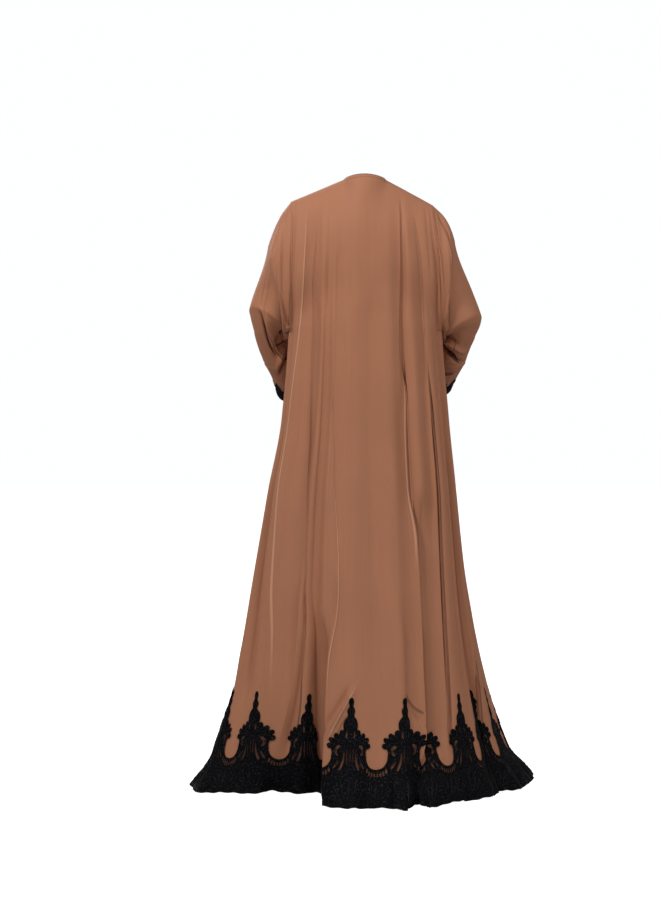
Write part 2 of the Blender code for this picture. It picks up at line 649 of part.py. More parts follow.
def build():
    """Make every piece of the garment."""
    remove_start_objects()
    back, left, right = back_rows(), front_left_rows(), front_right_rows()
    pieces = [wall("back", back), wall("front_left", left), wall("front_right", right)]
    lap = CENTRE_FRONT + LAP
    pieces.append(hem_lace("lace_hem_back", back, 0.0, RIGHT_SEAM))
    pieces.append(hem_lace("lace_hem_front_right", right, RIGHT_SEAM, lap))
    pieces.append(hem_lace("lace_hem_front_left", left, lap + 2 * SEAM_GAP / REPEAT, LEFT_SEAM_AGAIN))
    halfway = CUFF_REPEATS // 2
    for side, table, at_seam, flip in (("left", LEFT_RINGS, 0.0, 1), ("right", RIGHT_RINGS, RIGHT_SEAM, -1)):
        rows = sleeve_rows(table, at_seam, flip)
        pieces.append(wall("sleeve_" + side, rows, closed=True))
        pieces.append(cuff_lace("lace_cuff_" + side + "_one", rows, 0, halfway))
        pieces.append(cuff_lace("lace_cuff_" + side + "_two", rows, halfway, CUFF_REPEATS))
    garment = bpy.data.objects.new("abaya", None)
    bpy.context.scene.collection.objects.link(garment)
    for piece in pieces:
        piece.parent = garment
    return pieces


build()
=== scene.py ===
# %% [markdown]
# # An abaya, seen from behind
#
# An abaya is a long loose robe that opens down the front. This one is cut in warm brown crepe: a plain back
# that flares into a short train, two fronts, and two sleeves set on below the shoulder. A black lace border
# rises in spires round the hem and at the cuffs. The script dresses the packed model of it: every cloth wall
# is made again as a thin sheet with its finer creases, and the lace gets its openings, cords and leaves.
#
# Everything is in metres, with +Z up, the front facing -Y and the wearer's left at +X. The model is loaded
# first, because each piece rides on its body.

# %% Load the model
import math
from collections import namedtuple

import bpy
import numpy as np
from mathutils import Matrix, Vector
from mathutils.geometry import delaunay_2d_cdt


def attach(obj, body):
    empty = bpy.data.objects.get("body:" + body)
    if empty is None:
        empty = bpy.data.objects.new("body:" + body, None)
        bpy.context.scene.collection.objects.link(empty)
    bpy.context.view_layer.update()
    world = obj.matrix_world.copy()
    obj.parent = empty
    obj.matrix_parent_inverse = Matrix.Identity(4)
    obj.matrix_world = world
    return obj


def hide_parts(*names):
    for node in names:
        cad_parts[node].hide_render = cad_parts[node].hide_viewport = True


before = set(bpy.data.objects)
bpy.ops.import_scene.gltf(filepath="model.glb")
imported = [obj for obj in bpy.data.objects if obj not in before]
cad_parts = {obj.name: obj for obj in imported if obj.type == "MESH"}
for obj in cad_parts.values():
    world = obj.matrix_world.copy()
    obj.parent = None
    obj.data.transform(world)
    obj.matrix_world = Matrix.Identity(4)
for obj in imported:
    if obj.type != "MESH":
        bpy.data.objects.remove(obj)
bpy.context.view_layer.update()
BODY = "root"
print("nodes:", sorted(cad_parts))

# %% [markdown]
# ## Camera
#
# The camera stands 5 m behind the garment at about hip height and looks level at it, a little to the
# wearer's left. A level camera keeps upright lines upright. The lens is set for the long side of the picture,
# so the framing doesn't change with the width.

# %% Place the camera
SHOULDER_HEIGHT = 1.587
CAMERA_PLACE = (0.089, 5.0, 0.88 - SHOULDER_HEIGHT)
FOCAL_PIXELS = 1910.0
PICTURE_HEIGHT = 900.0
SENSOR = 36.0

camera_data = bpy.data.cameras.new("camera")
camera_data.sensor_fit = "VERTICAL"
camera_data.sensor_height = SENSOR
camera_data.lens = FOCAL_PIXELS / PICTURE_HEIGHT * SENSOR
camera = bpy.data.objects.new("camera", camera_data)
camera.location = CAMERA_PLACE
camera.rotation_euler = (math.radians(90.0), 0.0, math.radians(180.0))
bpy.context.scene.collection.objects.link(camera)
bpy.context.scene.camera = camera
print("lens:", round(camera_data.lens, 1), "mm")

# %% [markdown]
# ## Light and floor
#
# The garment is lit as in a shop's studio: a soft lamp stands high on the camera's left, a wider and weaker
# one on its right keeps the folds readable, and a pale surround fills the shadows, more from above and behind
# the camera than from the sides. A third lamp lights the fronts, which this camera doesn't see. The lamps are
# 0.6 m wide or more, because small ones would draw hard edges on cloth. The floor is plain and white, and
# isn't part of the object. Its glow reaches the camera alone, so that it doesn't light the skirt from below.

# %% Light the scene
Lamp = namedtuple("Lamp", "name place size power")
LAMPS = (
    Lamp("key lamp", (1.65, 1.75, 1.60), 0.6, 54.0),
    Lamp("fill lamp", (-1.9, 2.6, 1.2), 1.2, 31.0),
    Lamp("front lamp", (1.5, -3.4, 1.3), 2.0, 80.0),
)
SURROUND = (0.97, 0.98, 1.0, 1.0)
SURROUND_RANGE = (0.12, 0.57)
SURROUND_WAY = (0.0, 0.64, 0.77)
BACKDROP_STRENGTH = 1.02
AIM = Vector((0.0, 0.0, 0.10))

for lamp in LAMPS:
    light = bpy.data.lights.new(lamp.name, "AREA")
    light.shape = "DISK"
    light.size = lamp.size
    light.energy = lamp.power
    holder = bpy.data.objects.new(lamp.name, light)
    holder.location = lamp.place
    holder.rotation_euler = (AIM - Vector(lamp.place)).to_track_quat("-Z", "Y").to_euler()
    bpy.context.scene.collection.objects.link(holder)

world = bpy.data.worlds.new("pale surround")
world.use_nodes = True
room = world.node_tree
room.nodes["Background"].inputs["Color"].default_value = SURROUND
way = room.nodes.new("ShaderNodeTexCoord")
facing = room.nodes.new("ShaderNodeVectorMath")
facing.operation = "DOT_PRODUCT"
facing.inputs[1].default_value = SURROUND_WAY
room.links.new(way.outputs["Generated"], facing.inputs[0])
graded = room.nodes.new("ShaderNodeMapRange")
graded.inputs["From Min"].default_value = -1.0
graded.inputs["To Min"].default_value, graded.inputs["To Max"].default_value = SURROUND_RANGE
room.links.new(facing.outputs["Value"], graded.inputs["Value"])
seen = room.nodes.new("ShaderNodeLightPath")
strength = room.nodes.new("ShaderNodeMapRange")
strength.inputs["To Max"].default_value = BACKDROP_STRENGTH
room.links.new(graded.outputs["Result"], strength.inputs["To Min"])
room.links.new(seen.outputs["Is Camera Ray"], strength.inputs["Value"])
room.links.new(strength.outputs["Result"], room.nodes["Background"].inputs["Strength"])
bpy.context.scene.world = world
bpy.context.scene.view_settings.view_transform = "Standard"
print("lamps:", len(LAMPS))

# %% Lay the floor
FLOOR_HALF = 40.0
FLOOR_COLOUR = (0.48, 0.48, 0.48, 1.0)
FLOOR_ROUGHNESS = 0.9
FLOOR_GLOW = 1.02
FLOOR_DROP = 0.0006

floor_mesh = bpy.data.meshes.new("floor")
low = -SHOULDER_HEIGHT - FLOOR_DROP
corners = [(-1, -1), (1, -1), (1, 1), (-1, 1)]
floor_mesh.from_pydata([(x * FLOOR_HALF, y * FLOOR_HALF, low) for x, y in corners], [], [(0, 1, 2, 3)])
floor = bpy.data.objects.new("floor", floor_mesh)
floor_finish = bpy.data.materials.new("floor")
floor_finish.use_nodes = True
floor_shader = floor_finish.node_tree.nodes["Principled BSDF"]
floor_shader.inputs["Base Color"].default_value = FLOOR_COLOUR
floor_shader.inputs["Roughness"].default_value = FLOOR_ROUGHNESS
floor_seen = floor_finish.node_tree.nodes.new("ShaderNodeLightPath")
floor_finish.node_tree.links.new(floor_seen.outputs["Is Camera Ray"], floor_shader.inputs["Emission Color"])
floor_shader.inputs["Emission Strength"].default_value = FLOOR_GLOW
floor_mesh.materials.append(floor_finish)
bpy.context.scene.collection.objects.link(floor)
print("floor at", round(low, 4))

# %% [markdown]
# ## The garment in two tables
#
# Cloth that hangs from the shoulders is wide at the hem and narrow at the chest, and its folds run nearly
# straight between the two. So one table gives the body's size at each height, and a second one gives each
# fold's place round the chest and on the floor. They are the sizes that the model itself was made from.
# Places round the hem are counted in repeats of the lace, from the left side seam along the back.

# %% Sizes of the body
UNDERARM_HEIGHT = 1.190
ARMHOLE_HALF_DEPTH = 0.078
CAP_START = 0.55
UNDERARM_SHARPNESS = 5.0
LIFT_TURN = 0.35
NECK_HALF_WIDTH = 0.055
NAPE_RISE = 0.008
NAPE_DEPTH = 0.055
FRONT_NECK_DROP = 0.075
FRONT_NECK_DEPTH = 0.085
CORNER_FADE = 0.10
LEFT_SHOULDER_TIP = 1.530
RIGHT_SHOULDER_TIP = 1.521
REPEAT = 0.148
RIGHT_SEAM = 12.0
CENTRE_FRONT = 16.0
LEFT_SEAM_AGAIN = 20.0
LAP = 0.25

# "hem" is how much of the floor outline shows at a height, and "folds" how much of each fold's lift does.
Section = namedtuple("Section", "height left right back front hem folds")
SECTIONS = (
    Section(0.00, 0.340, 0.290, 0.215, 0.250, 1.00, 0.00),
    Section(0.09, 0.331, 0.271, 0.205, 0.232, 0.62, 0.40),
    Section(0.28, 0.292, 0.258, 0.182, 0.198, 0.30, 0.85),
    Section(0.50, 0.276, 0.246, 0.160, 0.172, 0.12, 1.00),
    Section(0.75, 0.247, 0.236, 0.140, 0.150, 0.03, 1.00),
    Section(0.96, 0.213, 0.220, 0.128, 0.138, 0.00, 0.80),
    Section(1.19, 0.196, 0.202, 0.120, 0.132, 0.00, 0.55),
    Section(1.36, 0.192, 0.194, 0.114, 0.122, 0.00, 0.40),
    Section(1.45, 0.190, 0.184, 0.108, 0.112, 0.00, 0.22),
    Section(1.53, 0.190, 0.178, 0.100, 0.100, 0.00, 0.10),
    Section(1.62, 0.190, 0.178, 0.100, 0.100, 0.00, 0.00),
)
print("sections:", len(SECTIONS))

# %% Folds of the body
# "turn" is the place round the chest in degrees, "lift" the height over the smooth body, x and y the place
# on the floor.
Fold = namedtuple("Fold", "name at turn lift x y")
FOLDS = (
    Fold("left side seam", 0.0, 90.0, 0.000, 0.430, -0.100),
    Fold("left side flare", 0.5, 86.0, 0.003, 0.447, -0.032),
    Fold("left side hollow", 1.0, 82.0, 0.000, 0.449, 0.035),
    Fold("left edge", 1.5, 78.0, 0.005, 0.430, 0.098),
    Fold("left edge hollow", 2.0, 73.0, -0.003, 0.372, 0.112),
    Fold("left long ridge", 2.5, 66.0, 0.010, 0.302, 0.118),
    Fold("left long groove", 3.0, 41.0, -0.014, 0.232, 0.092),
    Fold("left back ridge", 3.5, 33.0, 0.007, 0.162, 0.122),
    Fold("train tuck", 4.0, 28.0, -0.004, 0.106, 0.126),
    Fold("train wall", 4.5, 23.0, 0.010, 0.096, 0.200),
    Fold("train left edge", 5.0, 16.8, 0.004, 0.110, 0.272),
    Fold("train left", 5.5, 6.0, 0.003, 0.046, 0.328),
    Fold("train hollow", 6.0, -5.0, -0.002, -0.021, 0.316),
    Fold("train right", 6.5, -18.0, 0.006, -0.088, 0.345),
    Fold("right sharp groove", 7.0, -29.0, -0.018, -0.128, 0.276),
    Fold("right sharp ridge", 7.5, -37.0, 0.009, -0.160, 0.306),
    Fold("right back hollow", 8.0, -47.0, -0.003, -0.214, 0.250),
    Fold("right back ridge", 8.5, -57.0, 0.006, -0.270, 0.208),
    Fold("right back slope", 9.0, -66.0, 0.002, -0.325, 0.160),
    Fold("right edge groove", 9.5, -72.0, -0.009, -0.347, 0.094),
    Fold("right edge ridge", 10.0, -77.0, 0.005, -0.398, 0.058),
    Fold("right side slope", 10.5, -81.0, 0.000, -0.430, -0.010),
    Fold("right side flare", 11.0, -84.0, 0.003, -0.448, -0.080),
    Fold("right side hollow", 11.5, -87.0, 0.000, -0.459, -0.150),
    Fold("right side seam", 12.0, -90.0, 0.000, -0.452, -0.222),
    Fold("right front flare", 12.5, -95.0, 0.004, -0.418, -0.288),
    Fold("right front turn", 13.0, -101.0, 0.006, -0.352, -0.314),
    Fold("right front outer groove", 13.5, -109.0, -0.010, -0.300, -0.268),
    Fold("right front slope", 14.0, -119.0, 0.003, -0.250, -0.318),
    Fold("right front ridge", 14.5, -132.0, 0.008, -0.185, -0.354),
    Fold("right front inner groove", 15.0, -147.0, -0.008, -0.128, -0.316),
    Fold("right neck line", 15.5, -162.0, 0.004, -0.070, -0.364),
    Fold("centre front", 16.0, -180.0, 0.003, 0.000, -0.382),
    Fold("left neck line", 16.5, -196.8, -0.003, 0.070, -0.352),
    Fold("left front ridge", 17.0, -212.0, 0.008, 0.130, -0.380),
    Fold("left front slope", 17.5, -227.0, 0.002, 0.192, -0.340),
    Fold("left front groove", 18.0, -240.0, -0.009, 0.246, -0.290),
    Fold("left front outer ridge", 18.5, -250.0, 0.006, 0.316, -0.286),
    Fold("left front turn", 19.0, -258.0, 0.000, 0.366, -0.236),
    Fold("left front flare", 19.5, -264.0, 0.003, 0.404, -0.172),
)
print("folds:", len(FOLDS))

# %% [markdown]
# ## A curve through a column
#
# Each column of a table becomes a smooth curve. The slopes are chosen so that the curve never swings past a
# value, which is what keeps a groove from growing a false ridge beside it. The curve takes whole arrays,
# because a wall has tens of thousands of points and a loop over them would be slow.

# %% Curves through tables


def hermite(share):
    """Weights of both ends' values and slopes, part of the way along a smooth curve."""
    square, cube = share**2, share**3
    return 2 * cube - 3 * square + 1, cube - 2 * square + share, 3 * square - 2 * cube, cube - square


def eased(share):
    """A share from 0 to 1 that starts and ends gently."""
    return share * share * (3 - 2 * share)


class Curve:
    """A smooth curve through the values of one column, for arrays of places."""

    def __init__(self, places, values):
        self.places = np.array(places, float)
        self.values = np.array(values, float)
        steps = np.diff(self.values) / np.diff(self.places)
        before, after = steps[:-1], steps[1:]
        same_way = before * after > 0
        total = np.where(same_way, before + after, 1.0)
        middle = np.where(same_way, 2 * before * after / total, 0.0)
        self.slopes = np.concatenate([steps[:1], middle, steps[-1:]])

    def __call__(self, place):
        last = len(self.places) - 2
        index = np.clip(np.searchsorted(self.places, place) - 1, 0, last)
        width = self.places[index + 1] - self.places[index]
        share = np.clip((place - self.places[index]) / width, 0.0, 1.0)
        start, leave, end, reach = hermite(share)
        return (
            start * self.values[index]
            + leave * width * self.slopes[index]
            + end * self.values[index + 1]
            + reach * width * self.slopes[index + 1]
        )


SIZE = {
    name: Curve([row.height for row in SECTIONS], [getattr(row, name) for row in SECTIONS])
    for name in Section._fields[1:]
}
closing = FOLDS[0]._replace(at=LEFT_SEAM_AGAIN, turn=FOLDS[0].turn - 360.0)
after_closing = FOLDS[1]._replace(at=FOLDS[1].at + LEFT_SEAM_AGAIN, turn=FOLDS[1].turn - 360.0)
before_first = FOLDS[-1]._replace(at=FOLDS[-1].at - LEFT_SEAM_AGAIN, turn=FOLDS[-1].turn + 360.0)
FOLD_ROWS = (before_first, *FOLDS, closing, after_closing)
ROUND = {
    name: Curve([row.at for row in FOLD_ROWS], [getattr(row, name) for row in FOLD_ROWS])
    for name in Fold._fields[2:]
}
print("half width at the floor:", round(float(ROUND["x"](1.0)), 3))

# %% [markdown]
# ## The smooth body
#
# A point of the body is named by its place round the hem and its rise: 0 at the floor, 1 at the underarm and
# 2 at the shoulder seam or neckline. Up to the underarm the wall closes round the body. Above it each panel
# is cut away for the armhole, and rounds over to the shoulder.

# %% Points of the smooth body


def top_edge(sine, side, share):
    """Height and depth of a panel's top edge: a shoulder seam at the sides and the neckline between.

    The depth turns a corner at the neck's ends, which smooths out a little way below the edge."""
    tip = np.where(sine > 0, LEFT_SHOULDER_TIP, RIGHT_SHOULDER_TIP)
    half_width = np.where(sine > 0, SIZE["left"](LEFT_SHOULDER_TIP), SIZE["right"](RIGHT_SHOULDER_TIP))
    out = np.abs(sine) * half_width
    down = np.clip((out - NECK_HALF_WIDTH) / (half_width - NECK_HALF_WIDTH), 0.0, 1.0)
    inside = np.clip(1 - (out / NECK_HALF_WIDTH) ** 2, 0.0, 1.0)
    rise = NAPE_RISE if side > 0 else -FRONT_NECK_DROP
    depth = NAPE_DEPTH if side > 0 else FRONT_NECK_DEPTH
    power = 0.5 + 1.1 * np.clip((1 - share) / CORNER_FADE, 0.0, 1.0)
    return SHOULDER_HEIGHT + down * (tip - SHOULDER_HEIGHT) + rise * inside, depth * inside**power


def smooth_body(at, rise, side):
    """Points of the body's outer face, for arrays of places and rises. Side is 1 on the back, -1 in front."""
    turn = np.radians(ROUND["turn"](at))
    sine, cosine = np.sin(turn), np.abs(np.cos(turn))
    share = np.clip(rise - 1.0, 0.0, 1.0)
    upper = rise > 1.0
    top, top_depth = top_edge(sine, side, share)
    top_depth = np.where(upper, top_depth, 0.0)
    height = np.where(upper, UNDERARM_HEIGHT + share * (top - UNDERARM_HEIGHT), rise * UNDERARM_HEIGHT)
    bend = np.sqrt(np.clip(1 - (2 * share - 1) ** 2, 0.0, 1.0))
    cap = np.sqrt(np.clip(1 - (np.clip(share - CAP_START, 0.0, 1.0) / (1 - CAP_START)) ** 2, 0.0, 1.0))
    left, right = SIZE["left"](height), SIZE["right"](height)
    half_width = (left + right) / 2 + (left - right) / 2 * sine
    depth = SIZE["back" if side > 0 else "front"](height)
    full = top_depth + (depth - top_depth) * cap
    roundness = np.maximum(cosine, 1e-9) ** (1 + bend**4)
    sharpness = 1 + np.where(share < 0.5, UNDERARM_SHARPNESS * (1 - bend), 0.0)
    x = half_width * sine
    y = full * roundness + ARMHOLE_HALF_DEPTH * bend * (1 - roundness) ** sharpness
    turning = np.clip(share / LIFT_TURN, 0.0, 1.0)
    slant_x = sine / half_width * (1 - eased(turning))
    slant_y = cosine / depth
    lift = ROUND["lift"](at) * SIZE["folds"](height) / np.maximum(np.hypot(slant_x, slant_y), 1e-9)
    x = x + slant_x * lift
    y = side * (y + slant_y * lift * cap)
    floor_share = SIZE["hem"](height)
    x = x + (ROUND["x"](at) - x) * floor_share
    y = y + (ROUND["y"](at) - y) * floor_share
    return np.stack([x, y, height - SHOULDER_HEIGHT], axis=-1)


print("nape:", np.round(smooth_body(np.array([5.9]), np.array([2.0]), 1)[0], 3))

# %% [markdown]
# ## Creases placed one by one
#
# Smooth folds alone look like metal. Real crepe also has narrow creases where it is pushed together and soft
# troughs where it falls in. Each row below is one of them: where it runs, how wide it is at both ends in
# repeats, how far it goes in or out, and how far its bottom slides sideways under the next ridge. A little
# unevenness over the whole cloth and a wavy hem edge finish the drape.

# %% Creases of the body
Crease = namedtuple("Crease", "name at_low rise_low at_high rise_high width_low width_high depth slide")
CREASES = (
    Crease("left long groove", 2.96, 0.72, 3.10, 1.92, 0.10, 0.14, -0.0050, 0.0000),
    Crease("left turning groove", 3.44, 0.40, 2.92, 0.86, 0.06, 0.06, -0.0100, 0.0000),
    Crease("left low groove", 3.06, 0.03, 3.44, 0.52, 0.07, 0.05, -0.0130, -0.0030),
    Crease("left groove lip", 2.90, 0.06, 3.28, 0.50, 0.09, 0.08, 0.0070, 0.0040),
    Crease("left ridge crest", 2.62, 0.14, 2.78, 1.92, 0.06, 0.08, 0.0045, 0.0000),
    Crease("left ridge side", 2.74, 0.20, 2.88, 1.70, 0.07, 0.08, -0.0025, 0.0000),
    Crease("left edge crease", 2.02, 0.16, 2.10, 0.85, 0.09, 0.10, -0.0065, -0.0020),
    Crease("left edge roll", 1.50, 0.05, 1.60, 0.70, 0.14, 0.18, 0.0040, 0.0000),
    Crease("left side trough", 1.02, 0.04, 1.00, 0.60, 0.13, 0.16, -0.0055, 0.0000),
    Crease("left low side", 0.75, -0.04, 0.75, 0.30, 0.90, 0.90, -0.0085, 0.0000),
    Crease("back crest", 5.02, 0.17, 5.13, 0.56, 0.06, 0.06, 0.0050, 0.0000),
    Crease("back crest side", 5.14, 0.20, 5.24, 0.54, 0.07, 0.07, -0.0030, 0.0000),
    Crease("back upper crest", 5.13, 0.50, 4.36, 0.94, 0.06, 0.07, 0.0042, 0.0000),
    Crease("left back trough", 3.80, 0.22, 3.70, 1.20, 0.12, 0.16, -0.0030, 0.0000),
    Crease("train wall fold", 4.30, -0.08, 4.40, 0.40, 0.32, 0.30, -0.0460, 0.0000),
    Crease("train left fold", 5.00, -0.04, 5.02, 0.40, 0.14, 0.14, 0.0110, -0.0060),
    Crease("train pull", 4.98, 0.12, 5.66, 0.26, 0.040, 0.040, 0.0110, 0.0000),
    Crease("train pull trough", 4.86, 0.12, 5.54, 0.26, 0.05, 0.05, -0.0090, 0.0000),
    Crease("train short pull", 5.12, 0.11, 5.44, 0.19, 0.045, 0.045, -0.0040, 0.0000),
    Crease("back soft trough", 4.60, 0.40, 4.70, 1.55, 0.18, 0.26, -0.0036, 0.0000),
    Crease("back soft ridge", 5.35, 0.34, 5.20, 1.50, 0.20, 0.28, 0.0026, 0.0000),
    Crease("centre soft trough", 6.05, 0.18, 5.90, 1.20, 0.18, 0.26, -0.0032, 0.0000),
    Crease("right soft ridge", 6.45, 0.25, 6.42, 1.30, 0.16, 0.22, 0.0026, 0.0000),
    Crease("right sharp lip", 6.88, 0.02, 6.92, 0.96, 0.12, 0.12, 0.0120, 0.0090),
    Crease("right sharp crest", 6.97, 0.24, 6.98, 0.96, 0.035, 0.035, 0.0060, 0.0020),
    Crease("right sharp groove", 7.06, 0.03, 7.07, 0.96, 0.040, 0.040, -0.0150, 0.0000),
    Crease("right far side", 7.24, 0.10, 7.26, 0.92, 0.14, 0.14, 0.0060, 0.0000),
    Crease("right upper lip", 6.74, 0.80, 7.02, 1.90, 0.14, 0.16, 0.0060, 0.0030),
    Crease("right upper groove", 6.92, 0.80, 7.16, 1.94, 0.09, 0.11, -0.0040, 0.0000),
    Crease("right upper far side", 7.20, 0.90, 7.40, 1.80, 0.16, 0.18, 0.0050, 0.0000),
    Crease("right low dart", 6.96, 0.14, 6.52, 0.235, 0.04, 0.035, -0.0090, 0.0000),
    Crease("right low pull", 6.86, 0.12, 6.62, 0.235, 0.05, 0.04, 0.0050, 0.0000),
    Crease("right second lip", 8.04, 0.08, 8.16, 0.94, 0.07, 0.07, 0.0070, 0.0030),
    Crease("right second groove", 8.17, 0.06, 8.27, 0.94, 0.045, 0.045, -0.0110, 0.0000),
    Crease("right upper second groove", 8.14, 0.84, 7.92, 1.85, 0.10, 0.12, -0.0045, 0.0000),
    Crease("right third groove", 8.86, 0.10, 8.76, 1.00, 0.08, 0.10, -0.0065, 0.0000),
    Crease("right edge groove", 9.50, 0.02, 9.42, 0.78, 0.10, 0.12, -0.0070, 0.0040),
    Crease("right hem groove", 9.26, 0.03, 10.04, 0.31, 0.06, 0.045, -0.0150, 0.0000),
    Crease("right hem lip", 9.10, 0.03, 9.90, 0.31, 0.08, 0.06, 0.0060, 0.0040),
    Crease("right edge roll", 9.95, 0.06, 9.85, 0.60, 0.14, 0.16, 0.0040, 0.0000),
    Crease("right side trough", 10.70, 0.04, 10.60, 0.62, 0.13, 0.16, -0.0055, 0.0000),
    Crease("right side roll", 11.30, 0.04, 11.20, 0.50, 0.16, 0.18, 0.0036, 0.0000),
    Crease("left first spire", 2.50, -0.10, 2.50, 0.45, 0.40, 0.40, 0.0000, 0.0080),
    Crease("left second spire", 3.56, -0.10, 3.56, 0.45, 0.36, 0.36, 0.0000, 0.0200),
    Crease("right first spire", 6.50, -0.10, 6.50, 0.45, 0.34, 0.34, 0.0000, 0.0130),
    Crease("pleat lip", 6.90, 0.03, 6.88, 0.66, 0.15, 0.14, 0.0240, 0.0040),
    Crease("pleat fold", 7.24, 0.03, 7.20, 0.40, 0.13, 0.12, -0.0180, 0.0000),
    Crease("pleat far side", 7.52, 0.03, 7.50, 0.66, 0.34, 0.30, -0.0470, -0.0050),
    Crease("right armhole drag", 8.60, 1.02, 8.05, 1.60, 0.20, 0.20, -0.0036, 0.0000),
    Crease("left armhole drag", 2.30, 1.02, 2.62, 1.62, 0.18, 0.18, -0.0036, 0.0000),
    Crease("left shoulder fall", 1.75, 1.10, 1.60, 1.94, 0.12, 0.14, -0.0030, 0.0000),
    Crease("right shoulder fall", 8.65, 1.35, 8.80, 1.97, 0.14, 0.20, -0.0030, 0.0000),
    Crease("right front side trough", 12.70, 0.04, 12.75, 0.70, 0.13, 0.16, -0.0055, 0.0000),
    Crease("right front outer groove", 13.50, 0.03, 13.55, 1.10, 0.10, 0.12, -0.0085, 0.0040),
    Crease("right front lip", 13.78, 0.06, 13.82, 1.00, 0.12, 0.14, 0.0036, 0.0000),
    Crease("right front trough", 14.30, 0.16, 14.22, 1.35, 0.14, 0.18, -0.0036, 0.0000),
    Crease("right front crest", 14.62, 0.08, 14.55, 1.60, 0.10, 0.12, 0.0038, 0.0000),
    Crease("right front inner groove", 15.02, 0.03, 15.00, 1.50, 0.09, 0.10, -0.0080, -0.0035),
    Crease("right front soft fall", 15.40, 0.30, 15.30, 1.70, 0.16, 0.20, 0.0026, 0.0000),
    Crease("left front inner groove", 16.62, 0.04, 16.60, 1.45, 0.10, 0.12, -0.0062, 0.0025),
    Crease("left front crest", 17.02, 0.06, 17.05, 1.55, 0.12, 0.14, 0.0038, 0.0000),
    Crease("left front trough", 17.50, 0.20, 17.45, 1.30, 0.14, 0.18, -0.0036, 0.0000),
    Crease("left front groove", 18.00, 0.03, 17.95, 1.15, 0.09, 0.10, -0.0085, -0.0040),
    Crease("left front outer lip", 18.30, 0.06, 18.26, 0.95, 0.12, 0.14, 0.0036, 0.0000),
    Crease("left front side trough", 19.20, 0.04, 19.10, 0.60, 0.13, 0.16, -0.0055, 0.0000),
)
FADE = 0.12
EDGE_FADE = 0.22
CREST_ROUNDING = 0.30
HEM_ROUNDING = 0.45
STIFF_RISE = 0.22
CREASE_SHARPNESS = 1.3
TOP_SHARE = 0.60
print("creases:", len(CREASES))

# %% Points of the draped cloth


def crease_sums(at, rise):
    """How far the creases move each point out and along. They are crisp, and rounder under the stiff lace."""
    out, along = np.zeros_like(at), np.zeros_like(at)
    rounding = CREST_ROUNDING + HEM_ROUNDING * np.clip(1 - rise / STIFF_RISE, 0.0, 1.0)
    size = 1 - (1 - TOP_SHARE) * np.clip(rise / 2, 0.0, 1.0)
    for crease in CREASES:
        span = crease.rise_high - crease.rise_low
        share = (rise - crease.rise_low) / span
        middle = crease.at_low + share * (crease.at_high - crease.at_low)
        width = crease.width_low + np.clip(share, 0.0, 1.0) * (crease.width_high - crease.width_low)
        fade = min(FADE / span, 0.35)
        ends = np.clip(share / fade, 0.0, 1.0) * np.clip((1 - share) / fade, 0.0, 1.0)
        ends = eased(ends)
        off = (at - middle) / width
        out += crease.depth * size * ends * np.exp(rounding - np.hypot(CREASE_SHARPNESS * off, rounding))
        along += crease.slide * size * ends * np.exp(-off * off)
    return out, along


SWELL = 0.0016
RIPPLE = 0.0007


def unevenness(at, rise):
    """A slow uneven swell over the whole cloth, which fades out towards the top."""
    swell = np.sin(1.9 * at + 3.1 * rise) * np.sin(0.83 * at - 4.7 * rise + 1.3)
    ripple = np.sin(5.3 * at + 2.2 * np.sin(2.7 * rise)) * np.sin(6.1 * rise + 0.7 * at)
    return (SWELL * swell + RIPPLE * ripple) * np.clip(2.2 - rise, 0.0, 1.0)


HEM_WAVE_RISE = 0.10


def hem_wave(at, rise):
    """Out and up moves of the hem's own edge, which never lies quite straight."""
    near = np.clip(1 - rise / HEM_WAVE_RISE, 0.0, 1.0) ** 2
    out = 0.0056 * np.sin(8.6 * at + 0.8) * np.sin(1.7 * at) + 0.0030 * np.sin(17.0 * at)
    up = 0.0014 * (1 + np.sin(7.3 * at + 1.1 * np.sin(2.1 * at))) + 0.0011 * (1 + np.sin(26.0 * at))
    return out * near, up * near


def draped_body(at, rise, side, first, last):
    """Points of the finished cloth, on a panel from first to last."""
    small, low_rise = 0.012, 0.003
    left, right = np.maximum(at - small, first), np.minimum(at + small, last)
    under, over = np.maximum(rise - low_rise, 0.0), np.minimum(rise + low_rise, 2.0)
    split = (rise > 1.0) & (under < 1.0)
    under = np.where(split, 1.0 + 1e-6, under)
    over = np.where((rise <= 1.0) & (over > 1.0), 1.0, over)
    across = smooth_body(right, rise, side) - smooth_body(left, rise, side)
    upward = smooth_body(at, over, side) - smooth_body(at, under, side)
    outward = np.cross(across, upward)
    outward /= np.linalg.norm(outward, axis=-1, keepdims=True)
    across /= np.linalg.norm(across, axis=-1, keepdims=True)
    out, along = crease_sums(at, rise)
    out += unevenness(at, rise)
    wave_out, wave_up = hem_wave(at, rise)
    edge = np.clip(np.minimum(at - first, last - at) / EDGE_FADE, 0.0, 1.0)
    edge *= np.clip((2.0 - rise) / 0.05, 0.0, 1.0)
    shift = (out * edge)[..., None] * outward + (along * edge)[..., None] * across
    shift += wave_out[..., None] * outward
    shift[..., 2] += wave_up
    return smooth_body(at, rise, side) + shift


print("swell at mid back:", round(float(unevenness(np.array([6.0]), np.array([0.8]))[0]) * 1000, 2), "mm")

# %% [markdown]
# ## Cloth as a closed thin sheet
#
# A sheet of cloth is made as a grid of points. The inner side is the same grid moved inwards by the cloth's
# thickness, and the rim closes the two. Its UV map holds the flat place on the cut, in metres, so that the
# weave later runs with the cloth and not with the room.

# %% Sheets from grids
CLOTH_THICK = 0.0008
SEAM_GAP = 0.0003


def piece_object(name, mesh):
    """Put a finished mesh in the scene under the given name, at the origin."""
    mesh.name = name
    made = bpy.data.objects.new(name, mesh)
    bpy.context.scene.collection.objects.link(made)
    return made


